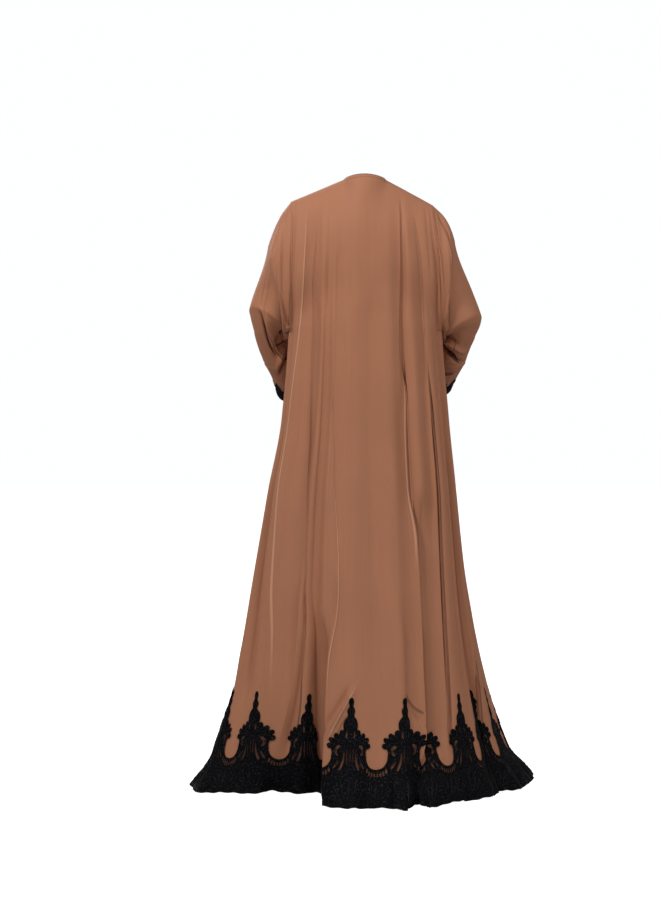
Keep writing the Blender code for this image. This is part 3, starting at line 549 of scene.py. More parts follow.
def rim_faces(faces, count):
    """Quads between the outer and the inner skin, along each edge that only one face uses."""
    starts = np.concatenate([faces[:, i] for i in range(faces.shape[1])])
    ends = np.concatenate([np.roll(faces, -1, axis=1)[:, i] for i in range(faces.shape[1])])
    open_edge = ~np.isin(starts * count + ends, ends * count + starts)
    a, b = starts[open_edge], ends[open_edge]
    return np.stack([b, a, a + count, b + count], axis=1)


def closed_sheet(name, outer, inner, faces, flat):
    """Make a closed sheet from two skins of points, the outer skin's faces and each point's flat place."""
    count = len(outer)
    rim = rim_faces(faces, count)
    all_faces = faces.tolist() + (faces[:, ::-1] + count).tolist() + rim.tolist()
    mesh = bpy.data.meshes.new(name)
    mesh.from_pydata(np.concatenate([outer, inner]).tolist(), [], all_faces)
    mesh.update()
    corner_points = np.zeros(len(mesh.loops), np.int32)
    mesh.loops.foreach_get("vertex_index", corner_points)
    layer = mesh.uv_layers.new(name="cut")
    layer.data.foreach_set("uv", np.concatenate([flat, flat])[corner_points].astype(np.float32).ravel())
    mesh.shade_smooth()
    mesh.set_sharp_from_angle(angle=math.radians(60))
    return piece_object(name, mesh)


def grid_normals(grid):
    """Outward directions of a grid of points, from its own neighbours."""
    outward = np.cross(np.gradient(grid, axis=1), np.gradient(grid, axis=0))
    return outward / np.maximum(np.linalg.norm(outward, axis=-1, keepdims=True), 1e-12)


def sheet_from_grid(name, grid, flat):
    """A closed sheet whose outer side runs through a grid of rows and columns."""
    rows, columns = grid.shape[:2]
    numbers = np.arange(rows * columns).reshape(rows, columns)
    faces = np.stack(
        [numbers[:-1, :-1], numbers[:-1, 1:], numbers[1:, 1:], numbers[1:, :-1]], axis=-1
    ).reshape(-1, 4)
    inner = grid - grid_normals(grid) * CLOTH_THICK
    return closed_sheet(name, grid.reshape(-1, 3), inner.reshape(-1, 3), faces, flat.reshape(-1, 2))


print("cloth:", CLOTH_THICK * 1000, "mm")

# %% [markdown]
# ## Back and fronts
#
# The three panels differ only in where they start and end round the hem, so one function makes them. Rows
# are closer together near the floor, where the lace lies and the folds are tightest. Under the lace the cloth
# draws in by a millimetre or two, so that it never shows through. The right front laps over the left one, so
# it stands off by a little near the centre.

# %% Make the panels
Panel = namedtuple("Panel", "name first last side lapped")
PANELS = (
    Panel("back", 0.0, RIGHT_SEAM, 1, False),
    Panel("front_right", RIGHT_SEAM, CENTRE_FRONT + LAP, -1, True),
    Panel("front_left", CENTRE_FRONT - LAP, LEFT_SEAM_AGAIN, -1, False),
)
COLUMNS_PER_REPEAT = 27
LACE_ZONE_RISE = 0.27
LACE_ZONE_ROWS, SKIRT_ROWS, ARMHOLE_ROWS = 42, 66, 40
NARROW = 0.125
FINE_STEPS = 6001
SEAM_CROWD, SEAM_REACH = 2.0, 0.1
CREASE_CROWD, CREASE_REACH = 2.2, 0.11
UNDER_LACE = 0.0012
UNDER_BAND = 0.0014
LACE_TOP, LACE_FADE = 0.19, 0.04
BAND_TOP, BAND_FADE = 0.07, 0.01
LAP_LIFT = 0.0022
LAP_START = 15.3
LAP_FULL = 15.6


def panel_point(panel, at, rise):
    """Points of one panel's cloth, with the lap's lift."""
    places = draped_body(at, rise, panel.side, panel.first, panel.last)
    if panel.lapped:
        share = np.clip((at - LAP_START) / (LAP_FULL - LAP_START), 0.0, 1.0)
        places[..., 1] -= LAP_LIFT * eased(share)
    return places


def panel_columns(panel):
    """Places of the columns round the hem, closer together at both seams and at the narrow creases."""
    inset = SEAM_GAP / 2 / REPEAT
    first, last = panel.first + inset, panel.last - inset
    fine = np.linspace(first, last, FINE_STEPS)
    middles = [(row.at_low + row.at_high) / 2 for row in CREASES if row.width_low < NARROW]
    density = 1 + SEAM_CROWD * np.exp(-(((fine - first) / SEAM_REACH) ** 2))
    density += SEAM_CROWD * np.exp(-(((last - fine) / SEAM_REACH) ** 2))
    density += sum(CREASE_CROWD * np.exp(-(((fine - middle) / CREASE_REACH) ** 2)) for middle in middles)
    total = np.cumsum(density)
    count = round((last - first) * COLUMNS_PER_REPEAT)
    return np.interp(np.linspace(total[0], total[-1], count + 1), total, fine)


def panel_rises():
    """Rises of the rows: close near the floor, wider up the skirt, close again over the shoulder."""
    lace_zone = np.linspace(0.0, LACE_ZONE_RISE, LACE_ZONE_ROWS)
    skirt = np.linspace(LACE_ZONE_RISE, 1.0, SKIRT_ROWS)[1:]
    armhole = 1 + (1 - np.cos(np.linspace(0.0, math.pi, ARMHOLE_ROWS)[1:])) / 2
    return np.concatenate([lace_zone, skirt, armhole])


def cut_height(rise):
    """Height of a rise on the flat cut, in metres."""
    upper = np.maximum(rise - 1.0, 0.0) * (SHOULDER_HEIGHT - UNDERARM_HEIGHT)
    return np.minimum(rise, 1.0) * UNDERARM_HEIGHT + upper


PANEL_RISES = panel_rises()
sheets = {}
for panel in PANELS:
    at, rise = np.meshgrid(panel_columns(panel), PANEL_RISES)
    grid = panel_point(panel, at, rise)
    under = UNDER_LACE * np.clip((LACE_TOP - rise) / LACE_FADE, 0.0, 1.0)
    under += UNDER_BAND * np.clip((BAND_TOP - rise) / BAND_FADE, 0.0, 1.0)
    grid -= grid_normals(grid) * under[..., None]
    flat = np.stack([at * REPEAT, cut_height(rise)], axis=-1)
    sheets[panel.name] = sheet_from_grid(panel.name + "_cloth", grid, flat)
    print(panel.name, "faces:", len(sheets[panel.name].data.polygons))

# %% [markdown]
# ## Sleeves
#
# A sleeve is a tube that turns at the elbow. It is worked out from rings: each lies between a point on the
# outer line and one on the inner line of the arm. The first ring is the armhole's own edge, so the sleeve
# meets the body with no gap. Its seam runs along the inner line, as in the cut.

# %% Rings of the sleeves
Ring = namedtuple("Ring", "name out_x out_y out_z in_x in_y in_z back front")
LEFT_RINGS = (
    Ring("cap", 0.217, 0.004, 1.493, 0.206, -0.008, 1.186, 0.081, 0.081),
    Ring("upper", 0.242, 0.008, 1.438, 0.212, -0.018, 1.182, 0.079, 0.079),
    Ring("middle", 0.262, 0.014, 1.366, 0.217, -0.030, 1.178, 0.072, 0.075),
    Ring("low", 0.277, 0.022, 1.300, 0.220, -0.043, 1.174, 0.065, 0.068),
    Ring("elbow", 0.281, 0.030, 1.246, 0.220, -0.060, 1.173, 0.053, 0.058),
    Ring("under elbow", 0.270, 0.018, 1.190, 0.213, -0.088, 1.176, 0.036, 0.054),
    Ring("forearm", 0.256, -0.015, 1.140, 0.198, -0.122, 1.182, 0.034, 0.053),
    Ring("low forearm", 0.238, -0.058, 1.094, 0.172, -0.158, 1.185, 0.046, 0.053),
    Ring("lace edge", 0.224, -0.102, 1.052, 0.152, -0.196, 1.184, 0.054, 0.056),
    Ring("cuff", 0.212, -0.148, 1.008, 0.131, -0.242, 1.180, 0.060, 0.060),
)
RIGHT_RINGS = (
    Ring("cap", 0.207, 0.004, 1.492, 0.210, -0.008, 1.186, 0.081, 0.081),
    Ring("upper", 0.229, 0.008, 1.450, 0.216, -0.018, 1.181, 0.079, 0.079),
    Ring("middle", 0.249, 0.014, 1.382, 0.221, -0.030, 1.176, 0.072, 0.075),
    Ring("low", 0.274, 0.022, 1.302, 0.225, -0.043, 1.171, 0.065, 0.067),
    Ring("elbow", 0.289, 0.030, 1.222, 0.227, -0.060, 1.169, 0.050, 0.058),
    Ring("under elbow", 0.272, 0.016, 1.178, 0.220, -0.088, 1.172, 0.034, 0.054),
    Ring("forearm", 0.257, -0.018, 1.138, 0.206, -0.122, 1.177, 0.034, 0.053),
    Ring("low forearm", 0.246, -0.060, 1.096, 0.180, -0.158, 1.181, 0.046, 0.053),
    Ring("lace edge", 0.236, -0.102, 1.062, 0.160, -0.196, 1.180, 0.054, 0.056),
    Ring("cuff", 0.220, -0.148, 1.024, 0.137, -0.242, 1.178, 0.060, 0.060),
)
RINGS = {"left": (LEFT_RINGS, 0.0, 1), "right": (RIGHT_RINGS, RIGHT_SEAM, -1)}
LAST_RING = float(len(LEFT_RINGS))
print("rings:", len(LEFT_RINGS))

# %% [markdown]
# ## Creases of the sleeves
#
# Cloth gathers in the bend of the elbow and hangs in long soft folds from the shoulder tip. Each row runs
# from one ring and angle to another. Angles count from the outer line, to the front when positive and to the
# back when negative. A narrow width gives a sharp crease.

# %% Creases of the sleeves
SleeveCrease = namedtuple("SleeveCrease", "name ring_a angle_a ring_b angle_b width lift")
SHARED_SLEEVE_CREASES = (
    SleeveCrease("shoulder hang", 0.5, -70.0, 3.5, -45.0, 26.0, 0.006),
    SleeveCrease("armhole hollow", 0.6, -115.0, 3.6, -120.0, 28.0, -0.007),
    SleeveCrease("above elbow", 2.4, 0.0, 4.9, 0.0, 120.0, -0.006),
    SleeveCrease("below elbow", 4.9, 0.0, 8.0, 0.0, 120.0, -0.012),
    SleeveCrease("over the cuff", 7.8, 0.0, 10.4, 0.0, 110.0, -0.008),
    SleeveCrease("elbow back", 3.0, -60.0, 5.2, -150.0, 26.0, -0.006),
    SleeveCrease("elbow front", 2.6, 60.0, 5.0, 140.0, 28.0, -0.007),
    SleeveCrease("forearm hang", 6.0, 50.0, 9.6, 35.0, 30.0, 0.006),
)
SLEEVE_CREASES = {
    "left": (
        SleeveCrease("underarm fullness", -1.0, 180.0, 4.0, 178.0, 36.0, 0.006),
        SleeveCrease("flap fold", 5.0, -10.0, 7.5, -33.0, 5.5, -0.0200),
        SleeveCrease("flap lip", 4.8, -22.0, 7.4, -45.0, 10.0, 0.0140),
        SleeveCrease("arm trough", 2.2, -38.0, 5.6, -28.0, 8.0, -0.0070),
        SleeveCrease("arm ridge", 1.4, -66.0, 3.8, -20.0, 10.0, 0.0060),
        SleeveCrease("first wedge", 3.6, -120.0, 5.3, -92.0, 6.0, -0.0200),
        SleeveCrease("second wedge", 5.2, -104.0, 6.0, -78.0, 5.0, -0.0120),
        SleeveCrease("third wedge", 6.1, -82.0, 6.9, -46.0, 6.0, -0.0150),
        SleeveCrease("forearm fold", 8.5, -4.0, 7.4, -76.0, 6.0, -0.0170),
        SleeveCrease("forearm lip", 8.1, -4.0, 7.0, -76.0, 8.0, 0.0100),
        SleeveCrease("upper drag", 0.8, -52.0, 3.0, -100.0, 13.0, -0.0040),
        SleeveCrease("cap fold", 0.5, -32.0, 2.4, -24.0, 12.0, -0.0030),
        SleeveCrease("front elbow tuck", 3.6, 84.0, 5.4, 128.0, 11.0, -0.0060),
        SleeveCrease("front elbow lip", 3.2, 100.0, 5.0, 148.0, 11.0, 0.0040),
        SleeveCrease("front drag", 1.0, 60.0, 3.6, 104.0, 14.0, -0.0040),
        SleeveCrease("cuff wave", 7.6, 80.0, 10.0, 70.0, 16.0, -0.0040),
        SleeveCrease("cuff wave back", 7.8, -60.0, 10.0, -48.0, 16.0, -0.0040),
    ),
    "right": (
        SleeveCrease("underarm fullness", -1.0, 180.0, 5.5, 178.0, 42.0, 0.012),
        SleeveCrease("flap fold", 6.5, -160.0, 7.82, 34.0, 9.0, -0.0230),
        SleeveCrease("flap lip", 6.10, -160.0, 7.26, 26.0, 14.0, 0.0130),
        SleeveCrease("flap upper crease", 5.2, -160.0, 6.8, -26.0, 9.0, -0.0070),
        SleeveCrease("armhole groove", 2.4, -150.0, 5.4, -166.0, 10.0, -0.0060),
        SleeveCrease("forearm crease", 8.8, -80.0, 8.3, 10.0, 7.0, -0.0120),
        SleeveCrease("shoulder crease", 0.1, -18.0, 2.4, -64.0, 8.0, -0.0055),
        SleeveCrease("upper drag", 0.7, -60.0, 2.8, -84.0, 13.0, -0.0036),
        SleeveCrease("upper second drag", 1.6, -40.0, 4.0, -62.0, 13.0, -0.0034),
        SleeveCrease("front elbow tuck", 3.8, 78.0, 5.6, 122.0, 11.0, -0.0060),
        SleeveCrease("front elbow lip", 3.3, 94.0, 5.2, 140.0, 11.0, 0.0040),
        SleeveCrease("front drag", 0.9, 66.0, 3.4, 108.0, 14.0, -0.0040),
        SleeveCrease("cuff wave", 7.4, 88.0, 10.0, 74.0, 16.0, -0.0040),
        SleeveCrease("cuff wave back", 7.6, -68.0, 10.0, -56.0, 16.0, -0.0040),
    ),
}
print("sleeve creases:", {side: len(rows) for side, rows in SLEEVE_CREASES.items()})

# %% Points of a sleeve
SEAM_DIP = 0.0060
SLEEVE_ROUNDING = 0.35
SLEEVE_ENDS = 0.6


def armhole_points(angle, at_seam, flip):
    """The armhole's edge on the body, at angles from the shoulder tip down the back and up the front."""
    rise = 2.0 - (1 - np.cos(angle)) / 2
    at = np.full_like(angle, at_seam)
    on_back = (np.degrees(angle) % 360) < 180
    back, front = smooth_body(at, rise, 1), smooth_body(at, rise, -1)
    places = np.where(on_back[..., None], back, front)
    places[..., 0] += flip * SEAM_GAP
    return places


def crease_lift(side, ring, degrees):
    """How far a sleeve's creases move a point of one ring in or out."""
    back_share = np.clip(-np.sin(np.radians(degrees)), 0.0, 1.0)
    total = -SEAM_DIP * back_share * np.exp(-(((ring - 0.55) / 0.3) ** 2))
    for crease in SHARED_SLEEVE_CREASES + SLEEVE_CREASES[side]:
        share = (ring - crease.ring_a) / (crease.ring_b - crease.ring_a)
        middle = crease.angle_a + share * (crease.angle_b - crease.angle_a)
        off = ((degrees - middle + 180) % 360 - 180) / crease.width
        ends = np.sin(math.pi * np.clip(share, 0.0, 1.0)) ** SLEEVE_ENDS
        shape = np.exp(SLEEVE_ROUNDING - np.hypot(CREASE_SHARPNESS * off, SLEEVE_ROUNDING))
        total += crease.lift * shape * ends
    return total


def sleeve_point(side, ring, angle):
    """Points of a sleeve at ring numbers from 0 at the armhole to 10 at the cuff, and angles in radians."""
    table, at_seam, flip = RINGS[side]
    armhole = armhole_points(angle, at_seam, flip)
    top, bottom = armhole_points(np.array([0.0, math.pi]), at_seam, flip)
    start = np.array([abs(top[0]), 0.0, (top[2] + bottom[2]) / 2 + SHOULDER_HEIGHT])
    outer = np.array([[row.out_x, row.out_y, row.out_z] for row in table])
    inner = np.array([[row.in_x, row.in_y, row.in_z] for row in table])
    middles = np.concatenate([[start], (outer + inner) / 2])
    across = (outer - inner) / 2
    stack = [armhole]
    for index, row in enumerate(table, start=1):
        path = middles[min(index + 1, len(table))] - middles[index - 1]
        backward = np.cross(across[index - 1], path)
        backward /= np.linalg.norm(backward)
        depth = np.where((np.degrees(angle) % 360) < 180, row.back, row.front)[..., None]
        spoke = across[index - 1] * np.cos(angle)[..., None] + backward * depth * np.sin(angle)[..., None]
        place = middles[index] + spoke
        place = place * np.array([flip, 1.0, 1.0]) - np.array([0.0, 0.0, SHOULDER_HEIGHT])
        stack.append(place)
    stack = np.stack(stack)
    slopes = np.gradient(stack, axis=0)
    low = np.clip(np.floor(ring).astype(int), 0, len(table) - 1)
    share = (ring - low)[..., None]

    def pick(values, index):
        return np.take_along_axis(values, index[None, ..., None], axis=0)[0]

    before, leave, after, reach = hermite(share)
    return (
        before * pick(stack, low)
        + leave * pick(slopes, low)
        + after * pick(stack, low + 1)
        + reach * pick(slopes, low + 1)
    )


def draped_sleeve(side, ring, angle):
    """Points of the finished sleeve, creases and all."""
    small = 0.02
    flip = RINGS[side][2]
    around = sleeve_point(side, ring, angle + small) - sleeve_point(side, ring, angle - small)
    ahead = sleeve_point(side, np.minimum(ring + small, LAST_RING), angle)
    along = ahead - sleeve_point(side, np.maximum(ring - small, 0.0), angle)
    outward = np.cross(around, along) * -flip
    outward /= np.maximum(np.linalg.norm(outward, axis=-1, keepdims=True), 1e-12)
    lift = crease_lift(side, ring, -np.degrees(angle)) * np.clip(ring / 0.7, 0.0, 1.0)
    return sleeve_point(side, ring, angle) + lift[..., None] * outward


check = draped_sleeve("left", np.array([5.0]), np.array([0.0]))[0]
print("left elbow:", np.round(check, 3))

# %% Make the sleeves
SLEEVE_COLUMNS = 150
SLEEVE_ROWS = 130
SLEEVE_CUT_WIDTH = 0.62
SLEEVE_CUT_LENGTH = 0.50
SEAM_ANGLE = 0.0004

for side, (table, at_seam, flip) in RINGS.items():
    start = math.pi + SEAM_ANGLE
    turns = start + (math.tau - 2 * SEAM_ANGLE) * np.linspace(0.0, 1.0, SLEEVE_COLUMNS + 1)
    rings = np.linspace(0.0, LAST_RING, SLEEVE_ROWS + 1)
    angle, ring = np.meshgrid(turns if flip < 0 else turns[::-1], rings)
    grid = draped_sleeve(side, ring, angle)
    flat = np.stack([angle / math.tau * SLEEVE_CUT_WIDTH, ring / LAST_RING * SLEEVE_CUT_LENGTH], axis=-1)
    sheets["sleeve_" + side] = sheet_from_grid("sleeve_" + side + "_cloth", grid, flat)
    print("sleeve", side, "faces:", len(sheets["sleeve_" + side].data.polygons))

# %% [markdown]
# ## Walls to sew lace on
#
# Lace is drawn flat and then laid on the cloth it is sewn to. So each stretch of cloth that carries lace is
# given as a wall: a function from a place on the flat cut, in metres along and up, to a point in space. One
# helper then finds the outward direction there, and lifts the lace off the cloth.

# %% Walls
Wall = namedtuple("Wall", "point first last")
WALL_STEP = 0.0012
CUFF_LENGTH = 0.600
CUFF_RING_HEIGHT = 0.070


def panel_wall(panel, first, last):
    """The lower part of a panel as a wall, from first to last in repeats."""

    def point(along, up):
        return panel_point(panel, along / REPEAT, up / UNDERARM_HEIGHT)

    return Wall(point, first * REPEAT, last * REPEAT)


def cuff_wall(side, first, last):
    """The end of a sleeve as a wall, counted round the cuff."""

    def point(along, up):
        share = along / CUFF_LENGTH
        angle = math.tau * (share if side == "left" else 1.0 - share)
        return draped_sleeve(side, np.minimum(LAST_RING - up / CUFF_RING_HEIGHT, LAST_RING), angle)

    return Wall(point, first, last)


def on_wall(wall, along, up, lift):
    """Points at a height over a wall and the outward directions there."""
    right, left = np.minimum(along + WALL_STEP, wall.last), np.maximum(along - WALL_STEP, wall.first)
    across = wall.point(right, up) - wall.point(left, up)
    upward = wall.point(along, up + WALL_STEP) - wall.point(along, np.maximum(up - WALL_STEP, 0.0))
    outward = np.cross(across, upward)
    outward /= np.linalg.norm(outward, axis=-1, keepdims=True)
    return wall.point(along, up) + outward * lift, outward


print("cuff:", CUFF_LENGTH, "m round")

# %% [markdown]
# ## The lace pattern
#
# Corded lace is a net with a pattern of filled cloth, cut away in gaps and outlined in thick thread. One
# repeat is drawn here, in millimetres from its middle line and up from the hem: a scalloped valley,
# a crown of leaves, an onion-shaped bulb and a beaded tip. Only the right half is listed, because the left
# one mirrors it. A smooth line goes through the marks, so few are needed.

# %% Marks of one repeat
HEM_EDGE = (
    (74, 88), (64, 90), (56, 95), (50, 104), (46, 116), (45.5, 128), (48, 137), (55, 138), (59, 144),
    (56, 150), (51, 151), (55, 157), (53, 164), (46, 164), (43, 163), (44, 170), (39, 176), (33, 173),
    (30, 172), (29, 180), (23, 184), (19.5, 182), (20.5, 191), (20, 201), (16.5, 209), (11.5, 214),
    (9.2, 219), (11.5, 226), (11, 233), (7.4, 238), (6.2, 242), (7.6, 248), (7.0, 255), (4.2, 259.5),
    (0, 261),
)
HEM_GAPS = {
    "crown slot": ((8.5, 165), (11.5, 162), (14, 172), (11.5, 182), (9, 176)),
    "scroll gap": (
        (25, 146), (33, 147), (38.5, 140), (39, 130), (35, 123), (29, 122), (32, 129), (32.5, 136), (28, 140),
    ),
    "spire slot": ((7.0, 106), (8.4, 100), (10.2, 116), (9.8, 138), (7.6, 140), (7.2, 122)),
    "leaf slot": (
        (15, 132), (17.6, 127), (19.4, 112), (27, 94), (26.4, 86), (21, 91), (15.8, 106), (14.2, 121),
    ),
    "side slot": ((28, 111), (31.5, 111), (36, 102), (41, 93), (38.6, 90), (33, 96.5), (28.6, 104)),
    "first cell": ((67.6, 71), (72.4, 71), (72.2, 80), (67.8, 80.5)),
    "second cell": ((60.2, 72.5), (64.8, 71.5), (65.4, 81), (61.0, 82.5)),
    "third cell": ((53.0, 76.5), (57.4, 74), (59.2, 83.5), (55.0, 86.5)),
    "fourth cell": ((46.6, 83), (50.6, 79.5), (53.0, 88.5), (49.2, 93)),
}
MIDDLE_SLOT = ((0, 98), (1.2, 102), (1.5, 120), (1.2, 138), (0, 142), (-1.2, 138), (-1.5, 120), (-1.2, 102))
CUFF_EDGE = (
    (30, 38), (25, 39.5), (21, 43), (18, 46), (20, 50), (16, 53), (12, 51.5), (12, 56), (8, 58), (6, 57),
    (5, 61), (3, 65), (0, 69),
)
CUFF_GAPS = {
    "leaf slot": ((3.2, 36), (6.5, 32), (8.5, 38), (6.5, 47), (3.8, 44)),
    "scroll gap": ((11, 34), (15, 31.5), (17, 37), (14, 43), (11.5, 40)),
    "cell": ((21.5, 27), (25.5, 26.5), (25.5, 32), (22, 33)),
}
print("gaps of a hem repeat:", 2 * len(HEM_GAPS) + 1)

# %% [markdown]
# ## Raised work
#
# The filled leaves stand a little proud of the net. Each is one row: where it starts and ends, how far it
# bows to the side, and its widest width. The low band is filled with fans of them, joined by scrolls, which
# is an old and common border. Scrolls are spirals, so a row needs only a middle, a size and two angles.

# %% Leaves and scrolls of one repeat
Leaf = namedtuple("Leaf", "across up to_across to_up bow width")
Scroll = namedtuple("Scroll", "across up size start turn width")
HEM_LEAVES = (
    Leaf(12, 148, 55, 146, 0.10, 4.2),
    Leaf(13, 152, 51, 161, 0.08, 4.2),
    Leaf(15, 156, 41, 173, 0.06, 4.2),
    Leaf(14, 162, 25, 181, 0.05, 3.6),
    Leaf(3, 158, 5.5, 184, -0.08, 2.6),
    Leaf(4, 186, 15, 205, -0.22, 4.4),
    Leaf(2, 188, 6, 214, -0.10, 3.8),
    Leaf(3, 220, 4.5, 238, -0.18, 3.4),
    Leaf(0, 236, 0, 258, 0.0, 3.0),
    Leaf(4.4, 96, 4.6, 150, 0.0, 1.7),
    Leaf(13, 150, 24, 84, 0.06, 1.8),
    Leaf(24, 118, 34, 88, 0.10, 2.6),
    Leaf(42, 138, 46, 99, 0.05, 2.4),
    Leaf(0.6, 18, 1.2, 74, 0.0, 4.2),
    Leaf(4, 17, 19, 68, -0.10, 4.0),
    Leaf(6, 15, 33, 56, -0.14, 3.8),
    Leaf(8, 13, 40, 38, -0.16, 3.4),
    Leaf(10, 11, 36, 22, -0.14, 2.8),
    Leaf(73, 18, 73.4, 60, 0.0, 3.8),
    Leaf(70, 17, 58, 60, 0.12, 3.6),
    Leaf(68, 15, 48, 46, 0.14, 3.4),
    Leaf(66, 12, 46, 26, 0.14, 3.0),
    Leaf(30, 62, 44, 74, 0.20, 3.0),
    Leaf(36, 58, 52, 68, 0.18, 2.6),
    Leaf(20, 76, 40, 80, 0.16, 2.2),
)
HEM_SCROLLS = (
    Scroll(33, 133, 8.5, 60, 470, 1.5),
    Scroll(43, 58, 6.5, 200, 430, 1.5),
    Scroll(28, 36, 6.0, -30, 400, 1.4),
    Scroll(58, 33, 5.5, 190, -400, 1.4),
    Scroll(10, 186, 4.0, -60, 380, 1.1),
)
HEM_LINES = (1.0, 5.0, 9.0)
CUFF_LEAVES = (
    Leaf(1.5, 49, 0.6, 66, 0.0, 3.0),
    Leaf(5, 48, 8, 57, -0.1, 2.8),
    Leaf(9, 45, 17, 51, -0.1, 2.8),
    Leaf(1.0, 8, 1.2, 30, 0.0, 3.0),
    Leaf(3, 7, 10, 27, -0.12, 2.8),
    Leaf(5, 6, 16, 19, -0.14, 2.4),
    Leaf(29, 8, 29.2, 24, 0.0, 2.8),
    Leaf(27, 7, 21, 22, 0.12, 2.4),
)
CUFF_SCROLLS = (Scroll(18, 27, 3.4, 40, 400, 1.0),)
CUFF_LINES = (2.5, 4.8)
print("leaves of a hem repeat:", 2 * len(HEM_LEAVES))

# %% Smooth lines through marks
LINE_PARTS = 2


def smooth_line(marks, parts, closed):
    """A smooth line through a list of marks, with some points between each two of them."""
    marks = np.array(marks, float)
    if closed:
        padded = np.concatenate([marks[-1:], marks, marks[:2]])
    else:
        padded = np.concatenate([2 * marks[:1] - marks[1:2], marks, 2 * marks[-1:] - marks[-2:-1]])
    points = []
    for before, start, end, after in zip(padded, padded[1:], padded[2:], padded[3:]):
        for share in np.arange(parts) / parts:
            points.append(
                start
                + (end - before) / 2 * share
                + (before - 2.5 * start + 2 * end - after / 2) * share**2
                + (1.5 * (start - end) + (after - before) / 2) * share**3
            )
    if not closed:
        points.append(marks[-1])
    return np.array(points)


def mirrored(points):
    """The same line on the left half, run the other way so that it keeps its turning sense."""
    return (points * (-1.0, 1.0))[::-1]


def gap_loops(gaps, middle):
    """Every gap of one repeat as a closed line."""
    loops = [smooth_line(marks, LINE_PARTS, True) for marks in gaps.values()]
    loops += [mirrored(loop) for loop in loops]
    return loops + ([smooth_line(middle, LINE_PARTS, True)] if middle else [])


def top_line(edge):
    """The top edge of one repeat from its right valley over the tip to its left one."""
    right = smooth_line(edge, LINE_PARTS, False)
    return np.concatenate([right, mirrored(right)[1:]])


print("points on a hem repeat's top edge:", len(top_line(HEM_EDGE)))

# %% [markdown]
# ## Cutting the ground of the lace
#
# The flat outline and every gap become edges of a triangulation, and a loose grid of points inside lets the
# lace bend with the cloth. Triangles outside the outline or inside a gap are dropped. One repeat is cut
# once, and then set side by side along the hem, with the points on both sides shared.

# %% Cut one repeat
Cut = namedtuple("Cut", "spots triangles")
CUT_TOLERANCE = 0.002
ROW_SPACING = 0.87
KEEP_CLEAR = 0.4


def within(spots, loop):
    """Which of the spots lie inside a closed line."""
    x, y = spots[:, 0][:, None], spots[:, 1][:, None]
    x1, y1 = loop[:, 0], loop[:, 1]
    x2, y2 = np.roll(x1, -1), np.roll(y1, -1)
    spans = (y1 > y) != (y2 > y)
    run = np.where(y2 == y1, 1.0, y2 - y1)
    crossed = spans & (x < x1 + (y - y1) * (x2 - x1) / run)
    return crossed.sum(axis=1) % 2 == 1


def cut_repeat(edge, gaps, middle, bottom, step, lap_line=None):
    """Triangles of one repeat of lace, in millimetres."""
    top = top_line(edge)
    half, valley = edge[0]
    ups = np.linspace(bottom, valley, round((valley - bottom) / step) + 1)[1:-1]
    base = np.linspace(-half, half, round(2 * half / step) + 1)
    outline = np.concatenate([
        np.stack([base, np.full_like(base, bottom)], axis=1),
        np.stack([np.full_like(ups, half), ups], axis=1),
        top,
        np.stack([np.full_like(ups, -half), ups[::-1]], axis=1),
    ])
    loops = [outline, *gap_loops(gaps, middle)]
    spots, edges = [], []
    for loop in loops:
        start = len(spots)
        spots += loop.tolist()
        edges += [(start + i, start + (i + 1) % len(loop)) for i in range(len(loop))]
    if lap_line is not None:
        start = len(spots)
        spots += [[lap_line, bottom - 1.0], [lap_line, edge[-1][1] + 1.0]]
        edges.append((start, start + 1))
    across, up = np.arange(-half, half, step), np.arange(bottom, edge[-1][1], step * ROW_SPACING)
    columns, rows = np.meshgrid(across, up)
    columns[1::2] += step / 2
    inner = np.stack([columns.ravel(), rows.ravel()], axis=1)
    inner = inner[within(inner, outline)]
    near = np.linalg.norm(inner[:, None] - np.array(spots)[None], axis=2).min(axis=1)
    spots += inner[near > step * KEEP_CLEAR].tolist()
    found, _, faces, *_ = delaunay_2d_cdt([Vector(spot) for spot in spots], edges, [], 0, CUT_TOLERANCE)
    found, faces = np.array([tuple(spot) for spot in found]), np.array([tuple(face) for face in faces])
    centres = found[faces].mean(axis=1)
    kept = within(centres, outline)
    for loop in loops[1:]:
        kept &= ~within(centres, loop)
    return Cut(found, faces[kept])


HEM_BOTTOM, HEM_STEP = 0.0, 6.4
CUFF_BOTTOM, CUFF_STEP = 0.6, 5.0
LAP_LINE = (LAP - 0.5) * REPEAT * 1000
HEM_CUT = cut_repeat(HEM_EDGE, HEM_GAPS, MIDDLE_SLOT, HEM_BOTTOM, HEM_STEP, LAP_LINE)
CUFF_CUT = cut_repeat(CUFF_EDGE, CUFF_GAPS, (), CUFF_BOTTOM, CUFF_STEP)
print("triangles of a hem repeat:", len(HEM_CUT.triangles), "and of a cuff one:", len(CUFF_CUT.triangles))

# %% [markdown]
# ## Laying the ground
#
# Repeats go side by side along a wall. Where the fronts lap, the border is cut a quarter way into a repeat,
# so the piece keeps only the triangles on its own side of that line.

# %% Lay the ground
LACE_LIFT = 0.0010
LACE_THICK = 0.0005
SAME_PLACE = 1e-5
Border = namedtuple("Border", "name node wall cut repeat height")


def repeat_numbers(border):
    """Numbers of the repeats that a border holds, whole or in part."""
    lowest = math.floor(border.wall.first / border.repeat + SAME_PLACE)
    return range(lowest, math.ceil(border.wall.last / border.repeat - SAME_PLACE))


